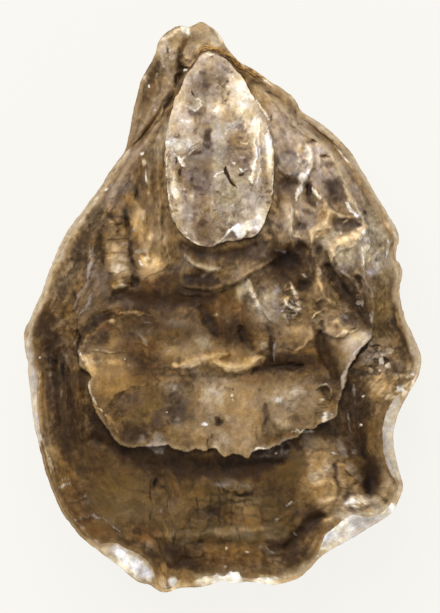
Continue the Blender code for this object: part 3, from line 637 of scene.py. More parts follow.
shoulderCrest = [
    (-19.8, 31.2), (-17.7, 33.8), (-15.7, 36.2), (-13.7, 39.1), (-12.5, 41.5), (-10.7, 43.5),
    (-9.9, 46.4), (-9.5, 49.4), (-8.9, 52.4), (-8.2, 56),
]
beakRelief = [
    ([(-2.6, 56.2), (-0.8, 54.2), (0.6, 51.8), (3, 49)], 0.6, 1), (-5.2, 52.4, 1.8, 1.6, -1.2),
    (-8, 48.4, 0.8, 1.6, -1.4), ([(-9.4, 45.2), (-8.4, 44.9)], 0.35, 0.7),
    ([(-9.2, 47.2), (-8, 47.6), (-7, 47.2)], 0.3, 0.6),
    ([(-8.8, 49.6), (-7.6, 50), (-6.6, 49.7)], 0.22, 0.6), ([(-9, 50.7), (-7.2, 50.9)], 0.3, 0.5),
    ([(-16.8, 43.4), (-14.6, 42), (-13.6, 40.4)], 0.4, 0.3),
    ([(-13.8, 50.4), (-11.6, 48.6), (-11.2, 46.8)], 0.35, 0.35),
    ([(-15.6, 46.4), (-13.4, 45.6), (-12.8, 43.2)], 0.4, 0.3),
    ([(-18.2, 38.2), (-16.2, 37.6), (-15.4, 36.6)], 0.35, 0.3),
    ([(-14.6, 49), (-13, 44), (-14.6, 39)], 0.5, 0.35),
    ([(-16, 45), (-15.4, 40), (-17.4, 35)], 0.5, -0.4),
    ([(-12.4, 52.6), (-11.6, 48), (-12.4, 44)], 0.4, -0.4), (-11.8, 48.3, 0.6, 0.5, 0.3),
]


def beakHeight(x, y):  # the deep valve where it stands out beyond the flat one
    signed, along, d = lineDistance(x, y, shoulderCrest)
    top = beakForm["shoulder"] * smooth(0.0, 0.35, along) * (1 - 0.35 * smooth(0.7, 1.0, along))
    inner = np.exp(-((d / beakForm["innerFall"]) ** 1.8))
    outer = 0.35 + 0.65 * np.exp(-((d / beakForm["outerFall"]) ** 2))
    ridge = beakForm["ridge"] * np.exp(-(((x + 4.4) / beakForm["ridgeWidth"]) ** 2)) * smooth(48.5, 52.5, y)
    shown = smooth(29, 33, y)
    shoulder = top * np.where(signed > 0, inner, outer) * shown
    return beakForm["level"] + shoulder + ridge + raised(x, y, beakRelief) * shown


print("relief defined")


# The whole top as one height map, for the painted shade and dirt in its hollows and the wear on its crests.

mapStep = 0.25
fineBlur, wideBlur = 0.6, 2.0
mapX, mapY = np.meshgrid(np.arange(-44, 44, mapStep), np.arange(-60, 61, mapStep))
mapR, mapTurn = polar(mapX, mapY)
tongueR, tongueTurn = polar(mapX, mapY, tongueMiddle)
topMap = np.where(mapR < reach(deepReach, mapTurn), beakHeight(mapX, mapY), -4.0)
topMap = np.where(mapR < reach(flatReach, mapTurn), apronHeight(mapX, mapY), topMap)
topMap = np.where(mapR < reach(plateReach, mapTurn), plateHeight(mapX, mapY), topMap)
topMap = np.where(tongueR < reach(tongueReach, tongueTurn), tongueHeight(mapX, mapY), topMap)


def blurred(heights, size):
    span = int(3 * size / mapStep) + 1
    weight = np.exp(-0.5 * (np.arange(-span, span + 1) * mapStep / size) ** 2)
    weight /= weight.sum()
    wide = np.pad(heights, span, mode="edge")
    wide = sum(w * np.roll(wide, k - span, 0) for k, w in enumerate(weight))
    wide = sum(w * np.roll(wide, k - span, 1) for k, w in enumerate(weight))
    return wide[span:-span, span:-span]


def sampled(heights, x, y):
    u = np.clip((x - mapX[0, 0]) / mapStep, 0, heights.shape[1] - 1.001)
    v = np.clip((y - mapY[0, 0]) / mapStep, 0, heights.shape[0] - 1.001)
    i, j = u.astype(int), v.astype(int)
    fu, fv = u - i, v - j
    low = heights[j, i] * (1 - fu) + heights[j, i + 1] * fu
    high = heights[j + 1, i] * (1 - fu) + heights[j + 1, i + 1] * fu
    return low * (1 - fv) + high * fv


fineMap = topMap - blurred(topMap, fineBlur)
wideMap = topMap - blurred(topMap, wideBlur)
print("height map made")


# The paint: layers of (paint, crispness, marks), each over the last.

paints = {
    "umber": (30, 19, 10), "bark": (56, 39, 22), "rust": (100, 68, 34),
    "brown": (106, 82, 50), "olive": (108, 85, 48),
    "ochre": (146, 112, 66), "amber": (178, 142, 92), "honey": (204, 170, 122), "gold": (226, 198, 154),
    "tan": (152, 126, 92), "beige": (168, 151, 124), "sand": (202, 181, 152), "cream": (246, 235, 216),
    "nacre": (255, 252, 246), "grey": (186, 177, 165), "lilac": (158, 145, 136), "slate": (120, 106, 94),
    "mauve": (122, 100, 80), "plum": (82, 65, 52), "rose": (176, 155, 134), "stone": (166, 147, 125),
}
tonguePaint = [
    # the narrow end: pinkish brown, blotched, between pale sides
    ("mauve", 0.2, [(-3.6, 44.8, 2.6, 0.55), (-0.6, 46.6, 2.4, 2.2, 0.45), (-4, 48, 1.4, 1, 0.5),
        (0.6, 48.6, 1, 1.4, 20, 0.5), (-1.2, 42, 2.4, 1, 0.4), (-5, 27.3, 3.3, 6.2, 1.2),
        (-3.9, 15.8, 2.3, 3.4, 10, 1), (-5.6, 38.9, 3, 1.3, -5, 1), (3.4, 31.2, 3.2, 4, 0.8),
        (-9, 26.8, 1.2, 3.6, 0.7), (-2.6, 45.4, 4.4, 4.2, 0.5)]),
    ("slate", 0.1, [(-5, 31, 2.8, 1.8, 12, 0.9), (-4.6, 26, 2.4, 3, 0.5), (-3.2, 33.6, 1.5, 3.2, 0.9)]),
    ("brown", 0.1, [(-3.9, 44.8, 1.8, 0.8), (-0.6, 45.2, 1.2, 0.5), (-4.4, 26.4, 2, 3.4, 0.4),
        (3, 33.2, 2.4, 1.8, 0.6), (-9, 26.2, 1, 3, 0.8), (-3.6, 15.4, 1.4, 2.2, 10, 0.5),
        (-4.2, 20.6, 1.8, 1.6, 0.5)]),
    ("rose", 0.1, [(-5, 46.6, 1, 3, 0.6), (-2, 49.4, 3, 1.6, 0.8), (2.4, 47.6, 1.2, 2, 20, 0.7),
        (-9, 39.6, 2.4, 5.6, -12, 1), (-8.4, 33.4, 3.6, 2.4, 0.9), (2.6, 43.4, 1.6, 2.6, 10, 0.6),
        (-7.8, 19.2, 2, 2.4, 0.6)]),
    ("beige", 0.1, [(1.8, 23, 4, 4.4, 0.9), (-1, 30.6, 1.5, 4.6, 1), (-1.2, 35.4, 1.6, 2.4, 0.9),
        (8.2, 30, 1.2, 6, 0.4), (3.4, 18.6, 1.4, 1.2, 0.4), (-7.8, 17.8, 1.6, 2.6, 10, 0.5)]),
    ("tan", 0.2, [(0.9, 38, 1.5, 1.6, 0.8), (-4.4, 20.8, 1.8, 2.2, 0.8), (3.6, 33.6, 1.9, 1.5, 0.8),
        (8, 26.6, 0.9, 3, 0.8), (-9, 26.2, 0.9, 2.4, 0.6), (0.2, 28.8, 1, 2, 0.5),
        (-4.2, 36.2, 1.4, 0.5, -20, 0.6), (2.6, 27.6, 1.6, 0.4), (-1, 16.4, 1.4, 2.4, 0.3)]),
    ("olive", 0.2, [(3.2, 18.8, 1.1, 1, 0.5), (-1.4, 17.6, 1.2, 1.6, 0.35), (-8.7, 24.9, 0.8, 0.4)]),
    ("sand", 0.1, [(3.8, 42.6, 2.8, 5, 16, 1.1), (3.2, 40, 2.2, 2, 0.9), (-1.4, 39.4, 2, 1.6, 1),
        (-8.9, 40.6, 1.6, 4.4, -14, 0.9), (-7.4, 36.8, 2.2, 1.5, -10, 1), (-10.6, 36, 0.9, 2.6, -6, 0.9),
        (7, 35.6, 2.4, 4.2, 0.9), (9.2, 30.4, 1.1, 6, 1.1), (6.4, 29.4, 0.9, 6.4, 0.9),
        (6.2, 18.2, 3.2, 3.8, 24, 1.1), ([(-9.9, 26.6), (-9.5, 22.6), (-8.7, 18.6)], 0.9, 0.8),
        (-6.6, 22.4, 0.8, 1.8, 0.7), (-10.4, 19.6, 0.6, 2.2, 10, 0.7), (-3.4, 50.6, 1.6, 0.6, 12, 0.7),
        (-1.4, 33.6, 1.1, 1.6, 0.4), (5, 21.6, 1, 2.4, 0.5), (-6.4, 14.9, 1.6, 0.7, -35, 0.5)]),
    ("grey", 0.1, [(-8.2, 32.7, 3.4, 1.6, 8, 0.8), (-1.2, 34.8, 1.4, 2, 0.5)]),
    ("lilac", 0.3, [(-7.8, 32.6, 1.6, 0.8, 10, 0.3), (-1.2, 34.6, 1.2, 1.6, 0.6),
        (-3.4, 39.9, 0.8, 0.7, 0.5), (-4.2, 25.2, 1.4, 1, 0.35), (-6.4, 28.4, 0.8, 1, 0.3),
        (3, 19.4, 1, 0.7, 0.3)]),
    ("plum", 0.5, [(-3.9, 44.6, 1.3, 1.1, 0.8), (-4.2, 46.6, 0.8, 0.5, 0.6), (-2.4, 50.3, 0.5, 0.35, 0.7),
        (-0.1, 47.7, 0.4, 0.7, 0.6), (0.3, 49, 0.35, 0.4, 0.5), (-1.3, 45.4, 0.7, 0.5, 0.6),
        (0.4, 44.9, 0.45, 0.6), (-1.2, 43.4, 0.5, 0.6, 0.5), (0.2, 41.5, 0.45, 0.6), (1.5, 47, 0.4, 0.5),
        (-2.2, 42.4, 0.4, 0.5), (-3.2, 33.6, 0.9, 2.2, 0.9), (-5.2, 31, 1.6, 0.9, 12, 0.8),
        (-6, 27.4, 1.2, 1, 0.6), (-3.4, 26.2, 0.9, 1.4, 0.6), (-5.4, 24.2, 1.4, 0.7, 0.5),
        (-9, 34.2, 0.6, 0.5, 0.6), (-6, 38.9, 1.4, 0.5, -6, 0.7), (3.2, 33.6, 0.8, 0.5, 0.6),
        (2.8, 31.5, 1.4, 0.35, 5, 0.6), (4.6, 29.2, 0.7, 0.6, 0.6), (2.2, 29.4, 0.6, 0.5, 0.5),
        (8.1, 25, 0.4, 0.5, 0.7), (-1.1, 23, 0.4, 0.35, 0.6), (-4.2, 17, 0.9, 1.2, 0.5),
        (-3.4, 14.6, 0.7, 0.8, 0.5), (-4.4, 22.6, 0.9, 0.25, 0.6), (-1.6, 21.2, 0.45, 0.35, 0.5),
        (5.4, 24.2, 0.5, 0.35, 0.4)]),
    # dark marks, with a painted shadow under the small arc at (3.4 to 4.5, 26.6)
    ("bark", 0.5, [(-3.9, 44.4, 0.6, 0.5, 0.5), ([(-6.1, 43.6), (-5.9, 42.6), (-5.4, 41.8)], 0.16, 0.7),
        (-3.3, 33.2, 0.9, 2, 0.6), (-8.6, 27.2, 0.4, 0.9, 0.7), (-9.4, 29.4, 0.16, 0.9, 0.7),
        (-9, 25.2, 0.45, 0.5, 0.5), ([(3.4, 26.6), (4.5, 26.6)], 0.3, 0.8), (-5, 31.1, 0.8, 0.4, 12, 0.6),
        (-4, 24.8, 0.4, 0.5), (-6.2, 25.6, 0.35, 0.5, 0.5), (7.7, 29, 0.12, 4, 0.4)]),
    ("bark", 0.4, [([(0.35, 27.9), (0.75, 26.4), (1.5, 25.2), (2.45, 23.9)], 0.36, 0.9)]),
    ("cream", 0.1, [(4.2, 43.6, 1.4, 3.2, 20, 0.8), (3.6, 40.4, 1.2, 0.8), (6.6, 36, 0.8, 2.4, -8, 0.9),
        (9.2, 31.4, 0.7, 4.2, 1), (5.8, 16.6, 2.4, 1.4, 20, 0.8), (7.2, 18.6, 1.2, 1.6, 24, 0.7),
        ([(-10, 25.6), (-9.5, 21.6)], 0.5, 0.7), (-10.8, 33, 0.9, 1.2, 0.6)]),
    ("grey", 0.4, [([(4.2, 38.4), (2.6, 37.2), (1.3, 36), (0.3, 34.4)], 0.6, 0.8),
        ([(2.5, 15.7), (0.6, 14.2), (-1.6, 12.3)], 0.55, 0.8), (-10.6, 33, 0.9, 1.2, 0.6),
        (-5.6, 40, 1.1, 0.6, 0.6), (8.8, 36, 0.5, 1.6, 15, 0.5)]),
    ("cream", 0.5, [([(3.3, 45.8), (4, 44.4), (4.8, 43), (5.7, 41.6)], 0.75, 0.95), (3.2, 40.2, 0.8, 0.7),
        (-1.3, 39.3, 0.8, 0.5, 10, 0.8), ([(-7.4, 40.7), (-6.9, 40), (-5.6, 39.5), (-4.5, 39.9),
        (-4.8, 40.6)], 0.2, 0.9), ([(-5.4, 41.4), (-4.6, 40.9), (-3.8, 40.6)], 0.18, 0.6),
        ([(6.3, 38), (6.5, 36.2), (6.9, 34.4)], 0.45, 0.9), ([(8.7, 35.6), (9.1, 33.8), (9.4, 31),
        (9.5, 28.8)], 0.5, 0.95), ([(9.6, 26.2), (9.7, 24.4), (9.6, 22.6)], 0.35, 0.9), ([(6.4, 34),
        (6.3, 30.8), (6.5, 28.7), (6.1, 27.2), (5.6, 25)], 0.24, 0.9),
        ([(7.2, 34), (7.2, 30), (7, 27), (6.4, 23.4)], 0.16, 0.6), (6.1, 27, 0.4, 0.6, 0.6),
        (5.7, 25.2, 0.4, 0.8, 10, 0.7), ([(-8.9, 29.9), (-8.4, 29), (-7.9, 28.1)], 0.36, 0.9),
        ([(-10.6, 31.6), (-9.7, 30.2), (-8.3, 29.6), (-7, 30.4), (-5.6, 32)], 0.2, 0.45),
        (-10.8, 33, 0.5, 0.6, 0.8), ([(-11.3, 30), (-11.3, 27.6), (-10.9, 24), (-10.8, 21),
        (-10.2, 18.4)], 0.22, 0.6), (-9.4, 22.6, 0.5, 1, 0.9), (-8.4, 23.6, 0.7, 0.35, 10, 0.6),
        (-6.3, 22.2, 0.4, 0.5, 0.4), (-8.2, 20.6, 0.4, 0.5), (-6.8, 37, 0.7, 0.5, -10, 0.7),
        (-8.2, 37.4, 0.4, 0.6, 0.5), ([(-11, 36.6), (-11.2, 34.8)], 0.25, 0.7),
        ([(3.5, 27.3), (3.9, 27), (4.9, 27.6)], 0.24, 0.95), (3.7, 29.7, 0.7, 0.3, 5, 0.7),
        (2.2, 28.5, 0.35, 0.3, 0.7), ([(3.2, 32.4), (4.2, 32.6), (5, 33.2)], 0.2, 0.6),
        (-1.8, 25.6, 0.35, 0.95), ([(-1.9, 26), (-1.2, 26.5), (0.2, 26.8)], 0.18, 0.6),
        (-0.3, 22.4, 0.5, 0.25, 20, 0.7), ([(-2.2, 19.6), (1.8, 20.3), (4.2, 21.6)], 0.2, 0.5),
        (0.9, 17.7, 0.4, 0.5, 0.6), (5.6, 15.6, 1.4, 0.6, 14, 0.8), (7, 17.4, 0.8, 0.9, 20, 0.8),
        (5.4, 19, 0.4, 0.5, 0.5), (8.4, 20.2, 0.35, 0.8, 20, 0.6), ([(-8.4, 15.6), (-7, 14.3),
        (-5.4, 13.1), (-4, 12.6)], 0.28, 0.6), (-2.8, 51, 0.8, 0.25, 0.7), (1.9, 46.2, 0.3, 0.6),
        (-4.2, 19.2, 0.25, 0.5), (0.9, 44, 0.25, 0.5), (-2.9, 43, 0.25, 0.2, 0.5)]),
    ("nacre", 0.8, [([(2.4, 15.8), (1, 14.7), (0, 13.8), (-1.5, 12.7)], 0.2, 0.8),
        (3.4, 15.2, 1.2, 1.3, 10, 1.1), (-8.3, 28.8, 0.25, 0.5, 20, 0.8), (-11, 33.1, 0.3, 0.35, 0.8),
        ([(4, 44.2), (4.9, 42.6)], 0.4, 0.8), ([(9, 34), (9.3, 31.6)], 0.2, 0.7),
        (3.9, 27.1, 0.25, 0.15, 0.8)]),
]
flatPaint = [
    # broad grounds
    ("rose", 0, [(19, 29.6, 6, 13, 40, 0.8), (11, 36, 3.4, 8, 28, 0.6), (15, 17.4, 4.6, 5, 0.8)]),
    ("beige", 0, [(30.4, 13, 3.6, 8, 12, 0.85), (23, 13.6, 5, 3.4, 0.8), (-31.6, 5, 2.4, 5, -25, 0.5),
        (8.4, 1.4, 4.6, 3.6, 0.6), (-12.4, 33, 1.4, 5, -14, 0.6)]),
    ("tan", 0, [(-13.4, 15.6, 3, 8, 0.6), (8.4, 41, 4, 3, -30, 0.6), (2, -18.8, 9, 6.4, 0.95),
        (13.4, -18.4, 5.4, 4.8, 0.9), (-22.6, -12.4, 6, 5.4, 0.6), (20.4, -33, 4.8, 7.4, 10, 0.85),
        (1, -25.8, 9, 3.6, 0.8), (4.8, 7.4, 4.8, 1.8, 15, 0.7), (-3.6, -8.4, 8.4, 2.4, 0.85),
        (22.4, -4, 3.4, 3.2, 0.8), (14.6, -4.6, 3.4, 2.6, 0.7), (30.8, -25, 1.4, 6, 0.3),
        (32.6, -15.6, 3.4, 0.8), (27, -39.6, 5, 2.4, 8, 0.7), (-20.6, 9, 3.4, 5.4, 0.7),
        (18.8, 4, 2, 3.4, 0.6), (-26, -3.6, 3, 2, 0.4)]),
    ("olive", 0, [(-21, -37.4, 6, 4.4, 0.9), (0, -44.6, 13, 2.2, 0.8), (13.6, -32, 3.4, 4, 0.8),
        (-2, -37.6, 8, 3, 0.5), (-15.6, -21.6, 4, 3, 0.6), (31, 0, 2.6, 6, 0.7), (1, 2.6, 5, 2, 0.4),
        (23, -12.4, 1.4, 3, 20, 0.6), (8.6, -40, 4, 2.6, 0.6)]),
    ("mauve", 0, [([(-15.6, 33), (-20, 26.4), (-22.6, 20.6)], 2.6, 0.8), (24, 23, 2.6, 4.6, 25, 0.5),
        (25.4, 9.6, 3.4, 3.6, 0.6), (-26, 4, 2, 6, -8, 0.7), (-9, -3.4, 7, 1.8, 0.5), (11, -1.6, 4, 0.4),
        (29, 5, 2.4, 5, 0.5), (12.6, 24, 2.4, 3, 0.7), (17, 17, 3, 2.4, 0.4), (28.6, -9, 3.4, 2.6, 0.6),
        (-18, -18, 4, 2, 0.6), (9.6, 11, 2.6, 1.4, 0.6)]),
    ("ochre", 0, [(0.6, -49, 7, 2.6, 0.6), (4, -41.4, 3.4, 2.6, 0.8)]),
    ("rust", 0, [(1, -50.6, 7, 1.6, 0.6), (-28.6, -41.6, 3, 3.6, 20, 0.8),
        (-24.6, -45.6, 3, 1.8, 30, 0.7), (-29, -18, 0.9, 5, 0.6), (0, -1.6, 5, 0.6),
        (-15.4, -44.8, 2.4, 1.6, 0.6), (-35.6, -17, 0.9, 5, 0.6), (-12.6, 5, 4, 1.8, 10, 0.8),
        (-24, -4.6, 4, 2, 0.6), (-18, -7.6, 6, 1.8, 0.5), (30, -23, 1, 5, 0.5), (4.4, -21.4, 2, 5, 0.3),
        (-15, -13, 4, 2, 0.5), (6.4, -14, 5, 1.2, 0.5),
        ([(26, 29), (31, 20.6), (33.4, 14.4)], 0.8, 0.5)]),
    # dark brown: the shell's own dark left side, and painted shade: the shadow below the plate's front
    # edge, the central trough below the tongue, the hollow at (12, 9) and the deep hollow at (29, -34)
    ("bark", 0, [([(-35.6, -3), (-33.6, -13), (-31.4, -22), (-29, -30)], 4.4, 0.8),
        ([(-24, 21), (-28, 14), (-31, 7), (-33.4, 0)], 2, 0.6), (26.2, -21, 3.4, 9, 0.75), ([(-27, -20),
        (-24, -25.6), (-19, -29), (-8, -31.4), (6, -31.6), (12.6, -29)], 2.7, 0.92),
        ([(-23, 2.6), (-16, 1.8), (-8, 1.6), (-2, 2.4)], 2.3, 0.9), (-8, 4, 5, 2, 10, 0.6),
        (2.4, -4.6, 3.6, 3, 0.7), (12.4, 9, 5.4, 3.4, -10, 0.9), (4, 11.2, 5, 1.4, 8, 0.7),
        (29.4, -34, 2.4, 5.4, 0.9), (12.6, -10.6, 6, 1.9, 0.85),
        ([(18.6, -5), (20.4, -10), (23.6, -15.6)], 2, 0.75), (16, 5, 2.4, 2, 0.6),
        ([(20.6, 10.4), (23.4, 5.6), (27, 1), (29, -3)], 2.2, 0.8), (-14, -11.6, 3.4, 2, 0.4),
        (-18.4, -25, 3.6, 2.6, 0.75), (-17, -20, 3, 2, 0.3),
        ([(34, 4), (34.2, -2), (36.6, -7.6)], 1.1, 0.7), (-3.8, 6, 4, 1.6, 0.6),
        (22, 22.6, 2, 2.2, 20, 0.5), ([(34, -2), (31, -5)], 1.6, 0.5), ([(8, -48.6), (13, -46.6),
        (17, -43.6), (21, -40.8), (25, -37.4)], 2, 0.85), (14, -49.6, 3.4, 2, 20, 0.7),
        (-6, 11.6, 4, 1.4, 0.5), (-10, -48.4, 5.4, 2.2, 0.7), (-8, -51.2, 4, 1.4, 0.7),
        (-12, -33.6, 4, 1.8, 0.4), (0, -40.4, 5, 1.6, 0.4), (-22, -31, 5, 2, -20, 0.5),
        (21, -24.6, 3, 1.8, 0.6)]),
    ("amber", 0, [(-16.4, 16.6, 1.8, 4.6, 5, 0.85), (-21, 9.6, 2.4, 3.8, 0.7),
        (-14.4, 8.6, 2.8, 2.6, 0.9), (-22.6, -13.6, 5, 4.4, 15, 0.45), (0.4, -9.6, 5, 1.7, -5, 0.85),
        (4.4, -21, 2.6, 6, 0.6), (14.6, -5, 2.4, 1.8, 0.4), (18.6, 4.4, 1.2, 2.4, 0.7),
        (-1, -18, 4, 3.4, 0.5), (24.4, 13.4, 3.2, 1.6, 15, 0.85), (19.6, 17.6, 1.4, 2.4, 0.7),
        (14, 18.8, 1.2, 2, 0.5), (20, -32.6, 3.4, 4.6, 15, 0.6), (31, -15.4, 3, 2.6, 0.7),
        (36, -15, 2.4, 0.6), (27.6, -40, 4, 1.6, 0.5), (-8.6, -24.8, 2.4, 2.8, 0.6),
        (22.4, -4, 2.2, 1.4, 0.5), (32.4, 18, 1.6, 2.6, 30, 0.5), (19.6, -46.4, 1.4, 3, -35, 0.6),
        (22, -42.2, 2.4, 1.4, 20, 0.7), (3.4, -26.6, 2, 3, 0.5), (-4.4, -25.8, 1.6, 2.4, 0.4),
        (8, 42.6, 2.6, 1.6, -30, 0.4)]),
    ("slate", 0.2, [(-15, 27.4, 1, 3.6, -8, 0.4), (9.4, 10.9, 2.4, 1.4, 10, 0.6),
        (12.4, 29, 2.2, 2.6, 0.7), (24.6, -2.4, 2, 1.2, -30, 0.6), (-9.4, -3, 3, 1, 0.5),
        (-8, 8.6, 2.4, 1.6, 20, 0.4), (9.4, -0.4, 2.2, 3, 0.4), (-19, 24.6, 2, 3, -30, 0.5),
        (23.4, 9.6, 1.4, 1.6, 0.4), (1.4, -35, 5, 1, 0.5), (23.6, -28, 1.4, 2, 10, 0.6),
        (12, -28.6, 1.8, 1.6, 0.5), (29.4, -9.4, 2.6, 1.6, 0.4), (-8, -46, 2, 1.4, 0.4),
        (-12.6, -37, 1.6, 0.8, 0.4), (16.4, -26, 1.6, 2, 0.6), (8, -48.6, 1.8, 1, 0.5)]),
    # left folds
    # dark brown in the valleys between the left folds, partly painted shade, with painted shade below the
    # fold ends and along the plate's left step
    ("bark", 0.5, [(-21.6, 18.7, 2, 0.5, 0.8), (-20.8, 17, 1.2, 0.4, 0.7),
        (-19.5, 17.6, 0.9, 2.4, 8, 0.8), ([(-24.6, 15.6), (-24.6, 11.6), (-23.8, 9)], 0.7, 0.6),
        (-21.2, 13.6, 2.4, 0.25, 0.6), (-28.4, 12, 1.4, 2.2, 0.4),
        ([(-19, 14), (-18.4, 11), (-17.9, 8.6)], 0.5, 0.7), (-20.6, 6, 2, 0.8, 0.6),
        (-12.8, 5.2, 2.4, 0.9, 15, 0.6), (-20.4, 2.4, 2.6, 1, 0.9), ([(-22, -1), (-26, -2.5), (-28, -5),
        (-28.2, -7)], 0.9, 0.9), (-35, -2.6, 1.8, 3, 15, 0.8), (-12.6, 19, 0.4, 6, 3, 0.4),
        (-13.6, 25, 0.3, 4, 0.35), (-17.4, 22, 0.5, 2, 0.5)]),
    # umber in the valley, below the fold ends and along the plate's left step: painted shade over the
    # shell's own dark
    ("umber", 0.3, [(-17.4, 5.4, 1.1, 1.3, 0.8), (-20.6, 2, 2.4, 1, 0.7), ([(-23.4, -0.6), (-26, -2.6),
        (-27.8, -5), (-28.3, -7.6)], 0.8, 0.4), (-19.4, 18.6, 0.6, 1, 0.5), (-17.6, 7.6, 0.3, 0.7)]),
    ("lilac", 0.4, [([(-26.2, 13), (-26.1, 9), (-27.4, 4.4), (-29.4, 0.6)], 0.4, 0.7),
        (-25, 5.8, 0.9, 1.9, 0.5), ([(-25.8, 3), (-27, 0), (-28.5, -1.5)], 0.35, 0.6),
        ([(-30, -6), (-28.5, -9.5)], 0.4, 0.6), (-20.2, 13, 1, 0.4, 0.6), (-17.6, 15.9, 0.4, 0.3, 0.8),
        (-22, 24, 0.7, 0.9, 0.4), (-24, 20.5, 0.6, 0.5, 0.4), (-15.4, 11.4, 1.6, 0.5, 0.3),
        ([(-17.3, -4.8), (-16, -6), (-15.4, -7.5)], 0.35, 0.7), (-16.8, 11.2, 0.8, 0.4, 0.6)]),
    ("amber", 0.1, [(-24, -6, 4, 1.8, 0.7), (-22, -14, 4.4, 4.6, 20, 0.6)]),
    ("honey", 0.4, [(-26.4, -10.8, 1.8, 1.6, 0.7), (-16.2, 17.2, 0.7, 3, 5, 0.5),
        (-20.6, 8.3, 1.9, 0.9, 0.95), (-22.2, 12, 2, 0.9, 0.5), (-20.8, 4.5, 1.5, 0.7, 8, 0.8),
        (-14.6, 9.4, 1.9, 1.3, 0.9), (-14.6, 13.6, 0.8, 2, 0.4), (-27.2, -10.4, 1, 1.6, 15, 0.7),
        (-22.6, -10.6, 2.2, 0.7, 0.6), (-22.2, -2.5, 0.7, 0.7),
        ([(-21, -1), (-18, -0.5), (-16, -1)], 0.3, 0.7), (-34, -4, 0.9, 0.5, 20, 0.3),
        (-24, -15.6, 1.4, 2, 0.4), (-11.4, 12, 0.6, 2.6, 10, 0.5)]),
    ("gold", 0.5, [(-15.8, 18.4, 0.4, 1.4, 0.6), (-20.8, 8.4, 1.2, 0.5, 0.8), (-21.4, 10, 1.6, 0.5, 0.5),
        (-14.9, 10, 0.9, 0.5, 10, 0.7), (-27.2, -10.6, 0.5, 1, 10, 0.7), (-23.4, -8.4, 2.4, 0.22, 0.5),
        (-20.4, 4.4, 0.8, 0.3, 10, 0.4)]),
    ("cream", 0.7, [([(-16.7, 9.8), (-16.3, 8.6)], 0.25, 0.9), (-16.1, 30.7, 0.35, 0.9),
        (-14.8, 22.9, 0.3, 0.25, 0.8), (-23, 23.8, 0.35, 0.25, 0.8), (-19.6, -9.8, 0.2, 0.18, 0.9),
        (-18.9, -11, 0.18, 0.8), (-36.3, -10, 0.2, 0.18, 0.8),
        ([(-28.3, -8.6), (-27.6, -10.8)], 0.2, 0.6), ([(-15.3, 27.5), (-14.8, 24)], 0.2, 0.5),
        (-15.5, 29, 0.5, 0.5), ([(-19, -1.2), (-17, -0.6), (-14, -1.5)], 0.12, 0.4)]),
    # middle
    ("mauve", 0.1, [([(-24, 8), (-23.4, 4), (-22.6, 0.6)], 1.2, 0.9), (-20, 1.6, 3, 1.4, 0.6)]),
    # pale sand on the left fold's ridge, with a painted highlight at (-21, 8)
    ("sand", 0.2, [(-20.9, 7.8, 2.2, 1.2, 5, 0.9), (-20.6, 9.8, 1.8, 1, 5, 0.6),
        (-20.4, 4.2, 1.6, 0.6, 15, 0.9)]),
    # the dark trough below the tongue: painted shade over the shell's own dark brown
    ("bark", 0.1, [([(-7.6, 6.2), (-4.6, 5.2), (-1.2, 5.2)], 1.7, 1.1), (-10.6, 5.6, 2, 1.6, 20, 0.5)]),
    # dark brown in the grooves and hollows of the middle, partly painted shade: below the tongue's front
    # step, in the hollow at (13, 10) and below the ridge at y -11 to -13
    ("bark", 0.3, [([(-7, 12), (-3, 10.6), (1, 10.6), (5, 12)], 0.9, 0.8),
        (12.6, 9.6, 3.6, 2.4, -12, 0.95), (15.4, 12, 1.6, 1.2, -30, 0.8),
        ([(17, 11), (18.6, 8.4)], 0.6, 0.6), (15.9, 4.8, 1.5, 1.3, 0.85),
        ([(-4.6, 0.8), (-3, -2), (-1, -5)], 1.1, 0.75), ([(3.2, -3.2), (4.2, -6), (5.6, -8)], 1.1, 0.7),
        ([(6.4, -12.2), (10, -11.4), (15.6, -11.2)], 1.3, 0.9),
        ([(8.6, -3.4), (9.6, -6), (9.6, -10.4)], 0.55, 0.8), (19.4, -8, 1, 2.8, 10, 0.6),
        ([(18.4, -1.4), (19.4, -2.4), (19.6, -4.6)], 0.5, 0.7), (8.8, 7.2, 2.2, 0.8, 30, 0.6),
        (5, -13.2, 6, 0.5, 0.4)]),
    # umber in the trough below the tongue and in the groove at (-3, -2), partly painted shade
    ("umber", 0.2, [([(-7.6, 6.2), (-4.6, 5.6), (-1.4, 6)], 1, 0.85),
        ([(-4.4, 0), (-3, -3), (-1.6, -5)], 1.2, 0.6)]),
    ("plum", 0.3, [([(-8, 6.4), (-5, 5.6), (-1.4, 6)], 1.1, 0.5), (6.4, 12, 2.4, 1.4, 15, 0.8),
        (9.2, -4.4, 1.3, 1.1, 0.8), (-10, -0.6, 3.4, 1.2, 0.5), (12.8, -7.4, 1.8, 0.9, 10, 0.6),
        (-16, -5.4, 2, 1.6, 0.4), (25, -2.2, 1.9, 0.9, -30, 0.8), (22.2, -3.7, 0.9, 0.7, 0.6),
        (11, -8.6, 1.4, 0.7, 0.5)]),
    # umber in the hollow at (13, 10) and below the ridge, partly painted shade
    ("umber", 0.4, [(13.2, 9.8, 2.4, 1.7, -12, 0.9), (15, 11.8, 0.9, 0.7, -30, 0.5),
        (10.6, 8.4, 1.2, 0.6, 20, 0.6), (16, 5.2, 0.8, 0.7, 0.5), (9.7, -9.8, 0.3, 0.7, 0.6),
        (12.6, -11.4, 2, 0.5, 0.4), ([(-3.4, 3), (0, 3.6), (3, 5.2)], 0.2, 0.5)]),
    ("beige", 0.1, [([(-7.6, 10.2), (-5.8, 8.8), (-3.2, 7.7), (-1, 7.9)], 0.55, 0.85),
        (4, 4, 1.5, 2.2, -20, 0.7), (9, 1.8, 2.2, 2, 0.45), (-4, -6.6, 2.2, 1.3, -10, 0.7),
        (-9.6, -7.6, 2.4, 1.2, 0.3), (8, -7.2, 0.8, 0.9, 0.7), (-1.5, -1.2, 0.6, 0.5, 0.7),
